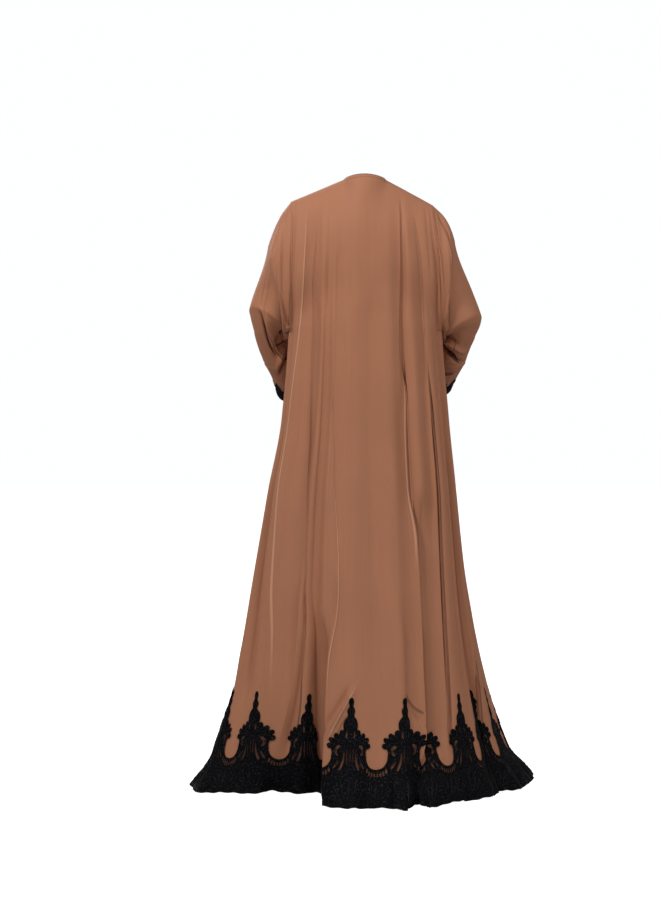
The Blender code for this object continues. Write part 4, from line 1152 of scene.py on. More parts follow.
def lay_ground(border):
    """One border's ground, as a closed thin sheet on its wall."""
    first, last = border.wall.first, border.wall.last
    places, faces = [], []
    for number in repeat_numbers(border):
        flat = border.cut.spots / 1000 + ((number + 0.5) * border.repeat, 0.0)
        centres = flat[border.cut.triangles].mean(axis=1)[:, 0]
        kept = (centres > first) & (centres < last)
        faces.append(border.cut.triangles[kept] + sum(len(p) for p in places))
        places.append(flat)
    places, faces = np.concatenate(places), np.concatenate(faces)
    _, chosen, merged = np.unique(
        np.round(places / SAME_PLACE).astype(np.int64), axis=0, return_index=True, return_inverse=True
    )
    places, faces = places[chosen], merged.ravel()[faces]
    used, faces = np.unique(faces, return_inverse=True)
    places, faces = places[used], faces.reshape(-1, 3)
    places[:, 0] = np.clip(places[:, 0], first + SEAM_GAP, last - SEAM_GAP)
    outer, _ = on_wall(border.wall, places[:, 0], places[:, 1], LACE_LIFT + LACE_THICK)
    inner, _ = on_wall(border.wall, places[:, 0], places[:, 1], LACE_LIFT)
    return closed_sheet(border.name + "_ground", outer, inner, faces, places)


BACK, FRONT_RIGHT, FRONT_LEFT = PANELS
HEM_HEIGHT, CUFF_HEIGHT = 0.261, 0.069
CUFF_REPEAT = 0.060
HALF_CUFF = CUFF_LENGTH / 2
BORDERS = [
    Border("hem_back", "lace_hem_back", panel_wall(BACK, 0.0, RIGHT_SEAM), HEM_CUT, REPEAT, HEM_HEIGHT),
    Border(
        "hem_front_right", "lace_hem_front_right",
        panel_wall(FRONT_RIGHT, RIGHT_SEAM, CENTRE_FRONT + LAP), HEM_CUT, REPEAT, HEM_HEIGHT,
    ),
    Border(
        "hem_front_left", "lace_hem_front_left",
        panel_wall(FRONT_LEFT, CENTRE_FRONT + LAP, LEFT_SEAM_AGAIN), HEM_CUT, REPEAT, HEM_HEIGHT,
    ),
]
for side in ("left", "right"):
    for half, first in (("one", 0.0), ("two", HALF_CUFF)):
        name = "cuff_" + side + "_" + half
        wall = cuff_wall(side, first, first + HALF_CUFF)
        BORDERS.append(Border(name, "lace_" + name, wall, CUFF_CUT, CUFF_REPEAT, CUFF_HEIGHT))
grounds = {border.name: lay_ground(border) for border in BORDERS}
print("ground faces:", {name: len(made.data.polygons) for name, made in grounds.items()})

# %% [markdown]
# ## Cords and leaves as lines
#
# Raised work is first a set of lines on the lace, each with a width at every point. A cord keeps one width.
# A leaf swells in its middle and ends in points. The lines are repeated like the ground, and laid on the
# same walls, with the outward direction stored at each point so that the work lies flat.

# %% Lines of one repeat
Strand = namedtuple("Strand", "spots widths closed")
EDGE_INSET = 1.3
EDGE_CORD = 1.7
GAP_CORD = 1.1
LEAF_PARTS = 6
NET_PITCH = 2.5
NET_THREAD = 0.75
BAND_CORD = 1.4
BAND_PITCH = 3.5
NET_SLANTS = (math.radians(35.0), math.radians(145.0))


def moved_inward(points, distance, closed):
    """A line moved to its left by a distance."""
    if closed:
        along = np.roll(points, -1, axis=0) - np.roll(points, 1, axis=0)
    else:
        along = np.gradient(points, axis=0)
    along /= np.linalg.norm(along, axis=1, keepdims=True)
    return points + np.stack([-along[:, 1], along[:, 0]], axis=1) * distance


def leaf_strand(leaf):
    """A leaf as a bowed line that swells in its middle."""
    share = np.linspace(0.0, 1.0, LEAF_PARTS + 1)[:, None]
    start, end = np.array([leaf.across, leaf.up], float), np.array([leaf.to_across, leaf.to_up], float)
    sideways = np.array([start[1] - end[1], end[0] - start[0]]) * leaf.bow
    spots = start + (end - start) * share + sideways * 4 * share * (1 - share)
    swell = np.sin(math.pi * (0.06 + 0.88 * share[:, 0] ** 0.85))
    return Strand(spots, leaf.width / 2 * swell, False)


def scroll_strand(scroll):
    """A spiral that tightens to its middle."""
    share = np.linspace(0.0, 1.0, round(abs(scroll.turn) / 36))
    angle = np.radians(scroll.start + scroll.turn * share)
    size = scroll.size * (1 - 0.78 * share)
    spots = np.stack([scroll.across + size * np.cos(angle), scroll.up + size * np.sin(angle)], axis=1)
    return Strand(spots, scroll.width / 2 * (1 + 0.8 * share), False)


def net_strands(loop):
    """Threads of the net that stays in a gap, as two sets of slanting lines cut at its edge."""
    strands = []
    ahead = np.roll(loop, -1, axis=0)
    for slant in NET_SLANTS:
        way = np.array([math.cos(slant), math.sin(slant)])
        side = np.array([-way[1], way[0]])
        first, last = (loop @ side).min() / NET_PITCH, (loop @ side).max() / NET_PITCH
        for offset in np.arange(math.ceil(first), last) * NET_PITCH:
            before, after = loop @ side - offset, ahead @ side - offset
            crossed = before * after < 0
            share = (before / np.where(before == after, 1.0, before - after))[crossed, None]
            hits = np.sort((loop[crossed] + (ahead - loop)[crossed] * share) @ way)
            for low, high in zip(hits[::2], hits[1::2]):
                ends = np.array([way * low, way * high]) + side * offset
                strands.append(Strand(ends, np.full(2, NET_THREAD / 2), False))
    return strands


def repeat_strands(edge, gaps, middle, leaves, scrolls, lines):
    """Every raised line of one repeat, in millimetres."""
    top = moved_inward(top_line(edge), EDGE_INSET, False)
    strands = [Strand(top, np.full(len(top), EDGE_CORD / 2), False)]
    for loop in gap_loops(gaps, middle):
        strands.append(Strand(loop, np.full(len(loop), GAP_CORD / 2), True))
        strands += net_strands(loop)
    half = [leaf_strand(leaf) for leaf in leaves] + [scroll_strand(scroll) for scroll in scrolls]
    strands += half + [strand._replace(spots=strand.spots * (-1.0, 1.0)) for strand in half]
    width = edge[0][0]
    for up in lines:
        base = np.linspace(-width, width, round(width / BAND_PITCH))
        spots = np.stack([base, np.full_like(base, up)], axis=1)
        strands.append(Strand(spots, np.full(len(base), BAND_CORD / 2), False))
    return strands


HEM_STRANDS = repeat_strands(HEM_EDGE, HEM_GAPS, MIDDLE_SLOT, HEM_LEAVES, HEM_SCROLLS, HEM_LINES)
CUFF_STRANDS = repeat_strands(CUFF_EDGE, CUFF_GAPS, (), CUFF_LEAVES, CUFF_SCROLLS, CUFF_LINES)
print("raised lines of a hem repeat:", len(HEM_STRANDS))

# %% Lay the lines on a border


def border_lines(border, strands):
    """One mesh of edges for all raised lines of a border, with each point's width and outward direction."""
    first, last = border.wall.first, border.wall.last
    flat, widths, edges = [], [], []
    start = 0
    for number in repeat_numbers(border):
        middle = (number + 0.5) * border.repeat
        for strand in strands:
            count = len(strand.spots)
            places = strand.spots / 1000 + (middle, 0.0)
            ends = np.stack([np.arange(count), np.roll(np.arange(count), -1)], axis=1)
            ends = ends if strand.closed else ends[:-1]
            inside = (places[:, 0] > first + SEAM_GAP) & (places[:, 0] < last - SEAM_GAP)
            edges.append(ends[inside[ends].all(axis=1)] + start)
            flat.append(places)
            widths.append(strand.widths / 1000)
            start += count
    flat, widths, edges = np.concatenate(flat), np.concatenate(widths), np.concatenate(edges)
    used, edges = np.unique(edges, return_inverse=True)
    flat, widths, edges = flat[used], widths[used], edges.reshape(-1, 2)
    places, outward = on_wall(border.wall, flat[:, 0], flat[:, 1], LACE_LIFT + LACE_THICK)
    mesh = bpy.data.meshes.new(border.name + "_lines")
    mesh.from_pydata(places.tolist(), edges.tolist(), [])
    mesh.attributes.new("wide", "FLOAT", "POINT").data.foreach_set("value", widths.astype(np.float32))
    mesh.attributes.new("outward", "FLOAT_VECTOR", "POINT").data.foreach_set(
        "vector", outward.astype(np.float32).ravel()
    )
    return piece_object(border.name + "_lines", mesh)


print("borders to lay lines on:", len(BORDERS))

# %% [markdown]
# ## Finishes
#
# Shader maths reads best as plain expressions, so a small class wraps a socket and turns sums and products
# into Math nodes. One method makes any other node from its type, settings and inputs.

# %% Shader helpers


class Link:
    """A socket in a material's tree, with sums and products as Math nodes."""

    def __init__(self, paint, socket):
        self.paint = paint
        self.socket = socket

    def math(self, operation, first, second):
        return self.paint.node("ShaderNodeMath", {"operation": operation}, {0: first, 1: second})[0]

    def __add__(self, other):
        return self.math("ADD", self, other)

    def __sub__(self, other):
        return self.math("SUBTRACT", self, other)

    def __rsub__(self, other):
        return self.math("SUBTRACT", other, self)

    def __mul__(self, other):
        return self.math("MULTIPLY", self, other)

    __radd__ = __add__
    __rmul__ = __mul__


class Paint:
    """A material and its tree."""

    def __init__(self, name):
        self.material = bpy.data.materials.new(name)
        self.material.use_nodes = True
        self.tree = self.material.node_tree
        self.shader = self.tree.nodes["Principled BSDF"]

    def plug(self, value, socket):
        if isinstance(value, Link):
            self.tree.links.new(value.socket, socket)
        else:
            socket.default_value = value

    def node(self, kind, settings, inputs):
        made = self.tree.nodes.new(kind)
        for name, value in settings.items():
            setattr(made, name, value)
        for name, value in inputs.items():
            self.plug(value, made.inputs[name])
        return [Link(self, socket) for socket in made.outputs]

    def set(self, **inputs):
        for name, value in inputs.items():
            self.plug(value, self.shader.inputs[name.replace("_", " ")])

    def mix(self, factor, low, high):
        return self.node("ShaderNodeMix", {"data_type": "RGBA"}, {0: factor, 6: low, 7: high})[2]

    def noise(self, place, scale, size, detail=2.0):
        """Noise over a place that is stretched by a scale, about 0.5 on average."""
        stretched = self.node("ShaderNodeMapping", {}, {"Vector": place, "Scale": scale})[0]
        return self.node("ShaderNodeTexNoise", {}, {"Vector": stretched, "Scale": size, "Detail": detail})[0]

    def specks(self, noise):
        """Peaks of a noise as small scattered spots from 0 to 1, the mask of painted glints."""
        return self.node("ShaderNodeMapRange", {}, {"Value": noise, "From Min": 0.57, "From Max": 0.72})[0]

    def dot(self, first, second):
        return self.node("ShaderNodeVectorMath", {"operation": "DOT_PRODUCT"}, {0: first, 1: second})[1]

    def curve(self, value, marks):
        """A smooth curve through marks, whose places and heights lie from 0 to 1."""
        bend = self.node("ShaderNodeFloatCurve", {}, {"Value": value})[0]
        mapping = bend.socket.node.mapping
        line = mapping.curves[0]
        line.points[0].location, line.points[-1].location = marks[0], marks[-1]
        for mark in marks[1:-1]:
            line.points.new(*mark)
        mapping.update()
        return bend

    def fade(self, value, start, full):
        """From 0 at the start to 1 where it is full, with soft ends."""
        inputs = {"Value": value, "From Min": start, "From Max": full}
        return self.node("ShaderNodeMapRange", {"interpolation_type": "SMOOTHSTEP"}, inputs)[0]


print("shader helpers:", [name for name in vars(Paint) if not name.startswith("_")])

# %% [markdown]
# ## Crepe
#
# Crepe is woven from hard-twisted yarn, which gives a fine pebbled face with a dry, matt look. Long faint
# streaks run with the warp, because no yarn is quite even. Both follow the flat cut, so they bend with the
# cloth. A touch of sheen lightens the turned-away sides, as the yarn's loose fibres do. The sharpest lines of
# the folds are finer than the mesh, so they are pressed into the bump along marks on the cut. Along a crest
# the colour is painted lighter as a painted highlight, and in the bottom of a tight fold it is painted darker
# as a painted shade.

# %% Pressed lines
# "light" is how much painted highlight a line puts on the cloth's colour, or painted shade when negative.
Pressed = namedtuple("Pressed", "name half_width height light marks")
BODY_LINES = (
    Pressed(
        "left long crest", 0.0036, 0.0013, 0.50,
        ((2.77, 1.94), (2.72, 1.22), (2.57, 0.80), (2.66, 0.48), (2.73, 0.20)),
    ),
    Pressed(
        "left upper groove", 0.0060, -0.0012, -0.10,
        ((3.06, 1.80), (2.94, 1.22), (2.98, 0.80), (3.30, 0.54)),
    ),
    Pressed(
        "left low groove", 0.0040, -0.0024, -0.55,
        ((3.49, 0.44), (3.30, 0.29), (3.31, 0.17), (3.09, 0.05)),
    ),
    Pressed(
        "back crest", 0.0034, 0.0013, 0.45,
        ((4.30, 0.98), (4.53, 0.80), (5.12, 0.515), (5.05, 0.275), (5.04, 0.19)),
    ),
    Pressed("right upper line", 0.0050, -0.0010, -0.08, ((7.05, 1.90), (6.91, 1.20), (6.95, 0.95))),
    Pressed(
        "right sharp line", 0.0032, 0.0020, 0.45,
        ((6.96, 0.97), (6.86, 0.80), (6.85, 0.60), (6.86, 0.47)),
    ),
    Pressed(
        "right sharp shade", 0.0040, -0.0026, -0.55,
        ((7.01, 0.97), (6.91, 0.80), (6.90, 0.60), (6.91, 0.47)),
    ),
    Pressed("right second upper", 0.0050, -0.0010, -0.08, ((7.94, 1.84), (8.14, 1.27), (8.20, 0.95))),
    Pressed(
        "right second line", 0.0032, 0.0018, 0.35,
        ((8.12, 0.97), (8.28, 0.80), (8.25, 0.515), (8.21, 0.27), (8.14, 0.09)),
    ),
    Pressed(
        "right second shade", 0.0036, -0.0022, -0.45,
        ((8.17, 0.97), (8.33, 0.80), (8.30, 0.515), (8.26, 0.27), (8.19, 0.09)),
    ),
    Pressed(
        "right hem line", 0.0036, -0.0022, -0.35,
        ((10.06, 0.31), (9.88, 0.215), (9.62, 0.11), (9.30, 0.03)),
    ),
    Pressed("train pull", 0.0034, 0.0020, 0.40, ((5.60, 0.245), (5.34, 0.19), (5.10, 0.13))),
    Pressed("train second pull", 0.0030, -0.0014, -0.25, ((5.46, 0.19), (5.28, 0.15), (5.16, 0.10))),
    Pressed("dart", 0.0032, -0.0020, -0.40, ((6.54, 0.23), (6.72, 0.20), (6.88, 0.175))),
    Pressed("right front crest", 0.0036, 0.0012, 0.30, ((14.56, 1.60), (14.60, 0.80), (14.62, 0.16))),
    Pressed("right front groove", 0.0040, -0.0016, -0.30, ((15.00, 1.30), (15.02, 0.60), (15.03, 0.05))),
    Pressed("left front crest", 0.0036, 0.0012, 0.30, ((17.05, 1.50), (17.06, 0.80), (17.02, 0.14))),
    Pressed("left front groove", 0.0040, -0.0018, -0.30, ((17.95, 1.15), (18.02, 0.60), (18.00, 0.05))),
)
# Marks on a sleeve are ring numbers and angles.
SLEEVE_LINES = {
    "left": (
        Pressed("flap line", 0.0034, -0.0030, -0.60, ((5.6, -6), (6.38, -34), (7.25, -38), (7.9, -44))),
        Pressed("flap edge", 0.0030, 0.0016, 0.30, ((5.5, -14), (6.26, -42), (7.20, -46), (7.8, -52))),
        Pressed("first wedge", 0.0040, -0.0040, -0.85, ((3.6, -136), (4.4, -118), (5.2, -96))),
        Pressed("second wedge", 0.0030, -0.0024, -0.55, ((5.2, -112), (5.7, -92), (6.1, -76))),
        Pressed("third wedge", 0.0034, -0.0034, -0.75, ((6.40, -108), (6.68, -81), (6.90, -46))),
        Pressed(
            "forearm line", 0.0036, -0.0040, -0.70,
            ((8.35, -4), (7.90, -36), (7.70, -64), (7.50, -92)),
        ),
        Pressed("forearm edge", 0.0030, 0.0018, 0.30, ((8.22, -4), (7.76, -36), (7.56, -64), (7.38, -92))),
        Pressed("arm line", 0.0044, -0.0012, -0.15, ((1.65, -58), (3.35, -20), (5.0, -14))),
    ),
    "right": (
        Pressed(
            "flap line", 0.0046, -0.0052, -0.85,
            ((6.10, -128), (6.70, -92), (7.14, -64), (7.48, -24), (7.80, 24)),
        ),
        Pressed(
            "flap edge", 0.0036, 0.0026, 0.55,
            ((5.96, -128), (6.55, -92), (6.99, -64), (7.33, -24), (7.65, 24)),
        ),
        Pressed("upper line", 0.0028, -0.0016, -0.35, ((5.50, -96), (6.20, -64), (6.75, -41), (7.15, -22))),
        Pressed("forearm line", 0.0032, -0.0034, -0.70, ((8.70, -62), (8.64, -30), (8.48, 2))),
        Pressed("shoulder line", 0.0044, -0.0014, -0.12, ((0.12, -22), (0.25, -76), (0.5, -110))),
        Pressed("outer line", 0.0036, -0.0018, -0.15, ((0.3, -24), (1.07, -50), (2.4, -70))),
    ),
}
LINE_REACH = 0.16
LINE_FADE = 0.16


def body_place(at, rise):
    """A place of the body on the flat cut, in metres."""
    return at * REPEAT, cut_height(rise)


def sleeve_place(ring, degrees):
    """A place of a sleeve on its flat cut, in metres."""
    return SLEEVE_CUT_WIDTH * (1 - degrees / 360.0), ring / LAST_RING * SLEEVE_CUT_LENGTH


def pressed_line(paint, flat, line, place):
    """How much of one pressed line lies at each point, from 0 to 1 on the line itself."""
    marks = np.array([place(*mark) for mark in line.marks])
    span = np.linalg.norm(marks[-1] - marks[0])
    way = (marks[-1] - marks[0]) / span
    side = np.array([way[1], -way[0]])
    near = paint.node("ShaderNodeVectorMath", {"operation": "SUBTRACT"}, {0: flat, 1: (*marks[0], 0.0)})[0]
    along = paint.dot(near, (*(way / span), 0.0))
    across = paint.dot(near, (*side, 0.0))
    bends = [((mark - marks[0]) @ way / span, 0.5 + (mark - marks[0]) @ side / LINE_REACH) for mark in marks]
    off = (across - (paint.curve(along, bends) - 0.5) * LINE_REACH) * (1 / line.half_width)
    hill = paint.fade(off * off, 1.0, 0.0)
    return hill * paint.fade(along, 0.0, LINE_FADE) * paint.fade(along, 1.0, 1 - LINE_FADE)


print("pressed lines:", len(BODY_LINES) + sum(len(lines) for lines in SLEEVE_LINES.values()))

# %% Crepe
CREPE_DARK = (0.300, 0.118, 0.060, 1.0)
CREPE_LIGHT = (0.430, 0.182, 0.096, 1.0)
# Painted highlight colour along crest lines, and painted shade colour in the bottoms of tight folds.
CREPE_PAINTED_HIGHLIGHT = (0.640, 0.330, 0.200, 1.0)
CREPE_PAINTED_SHADE = (0.030, 0.012, 0.007, 1.0)
CREPE_SHEEN_TINT = (0.90, 0.66, 0.54, 1.0)


def crepe(name, lines, place):
    """The brown cloth of the body or of a sleeve, with pressed lines and their painted highlight and shade.
    """
    paint = Paint(name)
    flat = paint.node("ShaderNodeUVMap", {"uv_map": "cut"}, {})[0]
    streaks = paint.noise(flat, (1.0, 0.012, 1.0), 330.0)
    broad = paint.noise(flat, (1.0, 0.10, 1.0), 22.0)
    mottle = paint.noise(flat, (1.0, 1.0, 1.0), 5.0)
    pebble = paint.noise(flat, (1.0, 0.62, 1.0), 1150.0, 3.0)
    tone = 0.5 + (streaks - 0.5) * 0.35 + (broad - 0.5) * 0.20 + (mottle - 0.5) * 0.40 + (pebble - 0.5) * 0.35
    height = pebble * 1.0 + streaks * 0.25
    pebbled = paint.node("ShaderNodeBump", {}, {"Strength": 0.35, "Distance": 0.0003, "Height": height})[0]
    hills = [(line, pressed_line(paint, flat, line, place)) for line in lines]
    relief = sum(hill * line.height for line, hill in hills)
    # How much painted highlight lies along crests and painted shade along grooves, mixed into the base
    # colour.
    crest = sum(hill * line.light for line, hill in hills if line.light > 0)
    painted_shade = sum(hill * -line.light for line, hill in hills if line.light < 0)
    bumped = paint.node("ShaderNodeBump", {}, {"Distance": 1.0, "Height": relief, "Normal": pebbled})[0]
    cloth = paint.mix(tone, CREPE_DARK, CREPE_LIGHT)
    paint.set(
        Base_Color=paint.mix(painted_shade, paint.mix(crest, cloth, CREPE_PAINTED_HIGHLIGHT), CREPE_PAINTED_SHADE),
        Roughness=0.74 + (pebble - 0.5) * 0.16,
        Normal=bumped,
        Specular_IOR_Level=0.28,
        Sheen_Weight=0.04,
        Sheen_Roughness=0.45,
        Sheen_Tint=CREPE_SHEEN_TINT,
    )
    return paint.material


CREPES = {node: "body" for node in ("back", "front_right", "front_left")}
CREPES.update({"sleeve_" + side: side for side in SLEEVE_LINES})
FINISHES = {
    side: crepe("brown crepe of the " + side + " sleeve", lines, sleeve_place)
    for side, lines in SLEEVE_LINES.items()
}
FINISHES["body"] = crepe("brown crepe", BODY_LINES, body_place)
print("finishes:", sorted(FINISHES))

# %% [markdown]
# ## Lace thread
#
# The ground of the lace is a black net closely worked with small loops of thread. Both are drawn here in the
# bump, and where the loops peak, grey specks are painted into the colour as painted glints. The raised cords
# and leaves are a shinier thread, laid in close turns that show as fine ribs.

# %% Lace finishes
NET_BLACK = (0.0016, 0.0014, 0.0018, 1.0)
NET_GREY = (0.0042, 0.0038, 0.0046, 1.0)
THREAD_BLACK = (0.0020, 0.0018, 0.0023, 1.0)
THREAD_GREY = (0.0060, 0.0055, 0.0066, 1.0)
# Painted glints: a grey mixed into the black lace's colour at the peaks of its loop noise.
PAINTED_GLINT_GREY = (0.0460, 0.0440, 0.0520, 1.0)


def lace_net():
    """The ground of the lace."""
    paint = Paint("black lace net")
    flat = paint.node("ShaderNodeUVMap", {"uv_map": "cut"}, {})[0]
    to_edge = {"feature": "DISTANCE_TO_EDGE"}
    cells = paint.node("ShaderNodeTexVoronoi", to_edge, {"Vector": flat, "Scale": 620.0})[0]
    patches = paint.noise(flat, (1.0, 1.0, 1.0), 60.0)
    loops = paint.noise(flat, (1.0, 1.0, 1.0), 240.0, 3.0)
    relief = (1.0 - cells) * 0.12 + loops
    bumped = paint.node("ShaderNodeBump", {}, {"Strength": 0.8, "Distance": 0.0025, "Height": relief})[0]
    ground = paint.mix(patches, NET_BLACK, NET_GREY)
    paint.set(
        # Painted glints on the net's loops.
        Base_Color=paint.mix(paint.specks(loops), ground, PAINTED_GLINT_GREY),
        Roughness=0.55 + (patches - 0.5) * 0.3,
        Normal=bumped,
        Specular_IOR_Level=0.03,
    )
    return paint.material


def lace_thread():
    """The raised cords and leaves of the lace."""
    paint = Paint("black lace thread")
    place = paint.node("ShaderNodeTexCoord", {}, {})[3]
    turns = paint.noise(place, (1.0, 1.0, 1.0), 900.0)
    patches = paint.noise(place, (1.0, 1.0, 1.0), 45.0)
    bumped = paint.node("ShaderNodeBump", {}, {"Strength": 0.9, "Distance": 0.0006, "Height": turns})[0]
    loops = paint.noise(place, (1.0, 1.0, 1.0), 210.0, 3.0)
    thread = paint.mix(patches, THREAD_BLACK, THREAD_GREY)
    paint.set(
        # Painted glints on the thread's loops.
        Base_Color=paint.mix(paint.specks(loops), thread, PAINTED_GLINT_GREY),
        Roughness=0.42 + (turns - 0.5) * 0.3,
        Normal=bumped,
        Specular_IOR_Level=0.12,
    )
    return paint.material


NET, THREAD = lace_net(), lace_thread()
print("finishes:", NET.name, "and", THREAD.name)

# %% [markdown]
# ## Lines into raised work
#
# Geometry Nodes turn the lines into flat cords: the edges become curves, each point's stored direction sets
# which way is out, and a flattened ring is swept along with the stored width as its scale. The result is
# kept as a plain mesh, and the lines are deleted.

# %% Raised work by Geometry Nodes


def add_node(tree, kind, settings, inputs):
    """Add one node to a tree of Geometry Nodes, with its settings and its values or links."""
    made = tree.nodes.new(kind)
    for name, value in settings.items():
        setattr(made, name, value)
    for name, value in inputs.items():
        if isinstance(value, bpy.types.NodeSocket):
            tree.links.new(value, made.inputs[name])
        else:
            made.inputs[name].default_value = value
    return made


def new_tree(name, sizes):
    """A tree of Geometry Nodes with a geometry input and one named input for each size."""
    tree = bpy.data.node_groups.new(name, "GeometryNodeTree")
    tree.interface.new_socket("Geometry", in_out="INPUT", socket_type="NodeSocketGeometry")
    for label, kind in sizes.items():
        tree.interface.new_socket(label, in_out="INPUT", socket_type=kind)
    tree.interface.new_socket("Geometry", in_out="OUTPUT", socket_type="NodeSocketGeometry")
    return tree, tree.nodes.new("NodeGroupInput").outputs


def stored(tree, name, kind):
    """A value that the mesh stores at each point."""
    read = add_node(tree, "GeometryNodeInputNamedAttribute", {"data_type": kind}, {"Name": name})
    return read.outputs["Attribute"]


def end_tree(tree, geometry, finish):
    """Realize what a tree has made, give it its finish and send it out."""
    whole = add_node(tree, "GeometryNodeRealizeInstances", {}, {"Geometry": geometry}).outputs["Geometry"]
    done = add_node(tree, "GeometryNodeSetMaterial", {}, {"Geometry": whole, "Material": finish})
    add_node(tree, "NodeGroupOutput", {}, {"Geometry": done.outputs["Geometry"]})
    return tree


def cord_tree(finish):
    """A tree that sweeps a flattened ring along the edges of a mesh."""
    tree, given = new_tree("cords from lines", {"Sides": "NodeSocketInt", "Flatness": "NodeSocketFloat"})
    wide = stored(tree, "wide", "FLOAT")
    outward = stored(tree, "outward", "FLOAT_VECTOR")
    curves = add_node(tree, "GeometryNodeMeshToCurve", {}, {"Mesh": given["Geometry"]})
    turned = add_node(
        tree, "GeometryNodeSetCurveNormal", {"mode": "FREE"},
        {"Curve": curves.outputs["Curve"], "Normal": outward},
    )
    round_ring = {"Resolution": given["Sides"], "Radius": 1.0}
    ring = add_node(tree, "GeometryNodeCurvePrimitiveCircle", {}, round_ring)
    squeeze = add_node(tree, "ShaderNodeCombineXYZ", {}, {"X": 1.0, "Y": given["Flatness"], "Z": 1.0})
    flat_ring = add_node(
        tree, "GeometryNodeTransform", {},
        {"Geometry": ring.outputs["Curve"], "Scale": squeeze.outputs["Vector"]},
    )
    swept = add_node(
        tree, "GeometryNodeCurveToMesh", {},
        {
            "Curve": turned.outputs["Curve"],
            "Profile Curve": flat_ring.outputs["Geometry"],
            "Scale": wide,
            "Fill Caps": True,
        },
    )
    smooth = add_node(tree, "GeometryNodeSetShadeSmooth", {}, {"Geometry": swept.outputs["Mesh"]})
    return end_tree(tree, smooth.outputs["Geometry"], finish)


def make_plain(name, source, tree, sizes):
    """Run a tree on an object, and keep the result as a plain mesh under a new name."""
    modifier = source.modifiers.new("nodes", "NODES")
    modifier.node_group = tree
    for item in tree.interface.items_tree:
        if item.in_out == "INPUT" and item.name in sizes:
            modifier[item.identifier] = sizes[item.name]
    source.update_tag()
    graph = bpy.context.evaluated_depsgraph_get()
    mesh = bpy.data.meshes.new_from_object(source.evaluated_get(graph))
    bpy.data.objects.remove(source, do_unlink=True)
    return piece_object(name, mesh)


CORDS = cord_tree(THREAD)
CORD_SIZES = {"Sides": 5, "Flatness": 0.55}
cords = {}
for border in BORDERS:
    strands = HEM_STRANDS if border.cut is HEM_CUT else CUFF_STRANDS
    cords[border.name] = make_plain(border.name + "_cords", border_lines(border, strands), CORDS, CORD_SIZES)
print("cord faces:", {name: len(made.data.polygons) for name, made in cords.items()})

# %% [markdown]
# ## Stitches
#
# The neckline and the front edges are turned under and sewn. Each stitch is a short rounded rod that half
# sinks into the cloth. Geometry Nodes set one on every few millimetres of a line and turn it to follow.

# %% Stitch lines
STITCH_INSET = 0.006
STITCH_PITCH = 0.0036
STITCH_LENGTH = 0.0026
STITCH_RADIUS = 0.00022
NECK_STEPS = 90
# Thread browns, also put on the rolled neck edge, where they are painted shade along the neckline.
THREAD_DARK = (0.075, 0.030, 0.018, 1.0)
THREAD_LIGHT = (0.130, 0.054, 0.032, 1.0)


def stitch_line(name, places):
    """A mesh of one row of points joined by edges."""
    mesh = bpy.data.meshes.new(name)
    mesh.from_pydata(places.tolist(), [(i, i + 1) for i in range(len(places) - 1)], [])
    return piece_object(name, mesh)


def stitch_tree(finish):
    """A tree that sets stitches along the edges of a mesh."""
    sizes = {"Pitch": "NodeSocketFloat", "Length": "NodeSocketFloat", "Radius": "NodeSocketFloat"}
    tree, given = new_tree("stitches on lines", sizes)
    curves = add_node(tree, "GeometryNodeMeshToCurve", {}, {"Mesh": given["Geometry"]})
    spaced = add_node(
        tree, "GeometryNodeResampleCurve", {"mode": "LENGTH"},
        {"Curve": curves.outputs["Curve"], "Length": given["Pitch"]},
    )
    rod = add_node(
        tree, "GeometryNodeMeshCylinder", {},
        {"Vertices": 6, "Side Segments": 1, "Radius": given["Radius"], "Depth": given["Length"]},
    )
    tangent = add_node(tree, "GeometryNodeInputTangent", {}, {})
    turned = add_node(
        tree, "FunctionNodeAlignRotationToVector", {"axis": "Z"}, {"Vector": tangent.outputs["Tangent"]}
    )
    placed = add_node(
        tree, "GeometryNodeInstanceOnPoints", {},
        {
            "Points": spaced.outputs["Curve"],
            "Instance": rod.outputs["Mesh"],
            "Rotation": turned.outputs["Rotation"],
        },
    )
    return end_tree(tree, placed.outputs["Instances"], finish)


def panel_line(panel, at, rise):
    """A line on a panel's outer face, just proud of it."""
    wall = panel_wall(panel, panel.first, panel.last)
    if rise.max() <= 1.0:
        return on_wall(wall, at * REPEAT, rise * UNDERARM_HEIGHT, STITCH_RADIUS / 2)[0]
    near = panel_point(panel, at, rise)
    across = panel_point(panel, np.minimum(at + 0.01, panel.last), rise) - near
    upward = near - panel_point(panel, at, rise - 0.002)
    outward = np.cross(across, upward)
    outward /= np.maximum(np.linalg.norm(outward, axis=-1, keepdims=True), 1e-12)
    return near + outward * STITCH_RADIUS / 2


NECK_BACK = (4.97, 6.69)
NECK_RISE = 2.0 - 0.02
EDGE_STEPS = 240
back_neck = panel_line(BACK, np.linspace(*NECK_BACK, NECK_STEPS), np.full(NECK_STEPS, NECK_RISE))
edge_rise = np.linspace(0.01, 1.0, EDGE_STEPS)
right_edge_at = np.full_like(edge_rise, CENTRE_FRONT + LAP - STITCH_INSET / REPEAT)
right_edge = panel_line(FRONT_RIGHT, right_edge_at, edge_rise)


def sewing_thread_and_painted_edge_shade():
    """Brown thread of the stitches; on the rolled neck edge its dark brown is painted shade."""
    paint = Paint("brown sewing thread")
    place = paint.node("ShaderNodeTexCoord", {}, {})[3]
    turns = paint.noise(place, (1.0, 1.0, 1.0), 1400.0)
    paint.set(Base_Color=paint.mix(turns, THREAD_DARK, THREAD_LIGHT), Roughness=0.8, Specular_IOR_Level=0.2)
    return paint.material


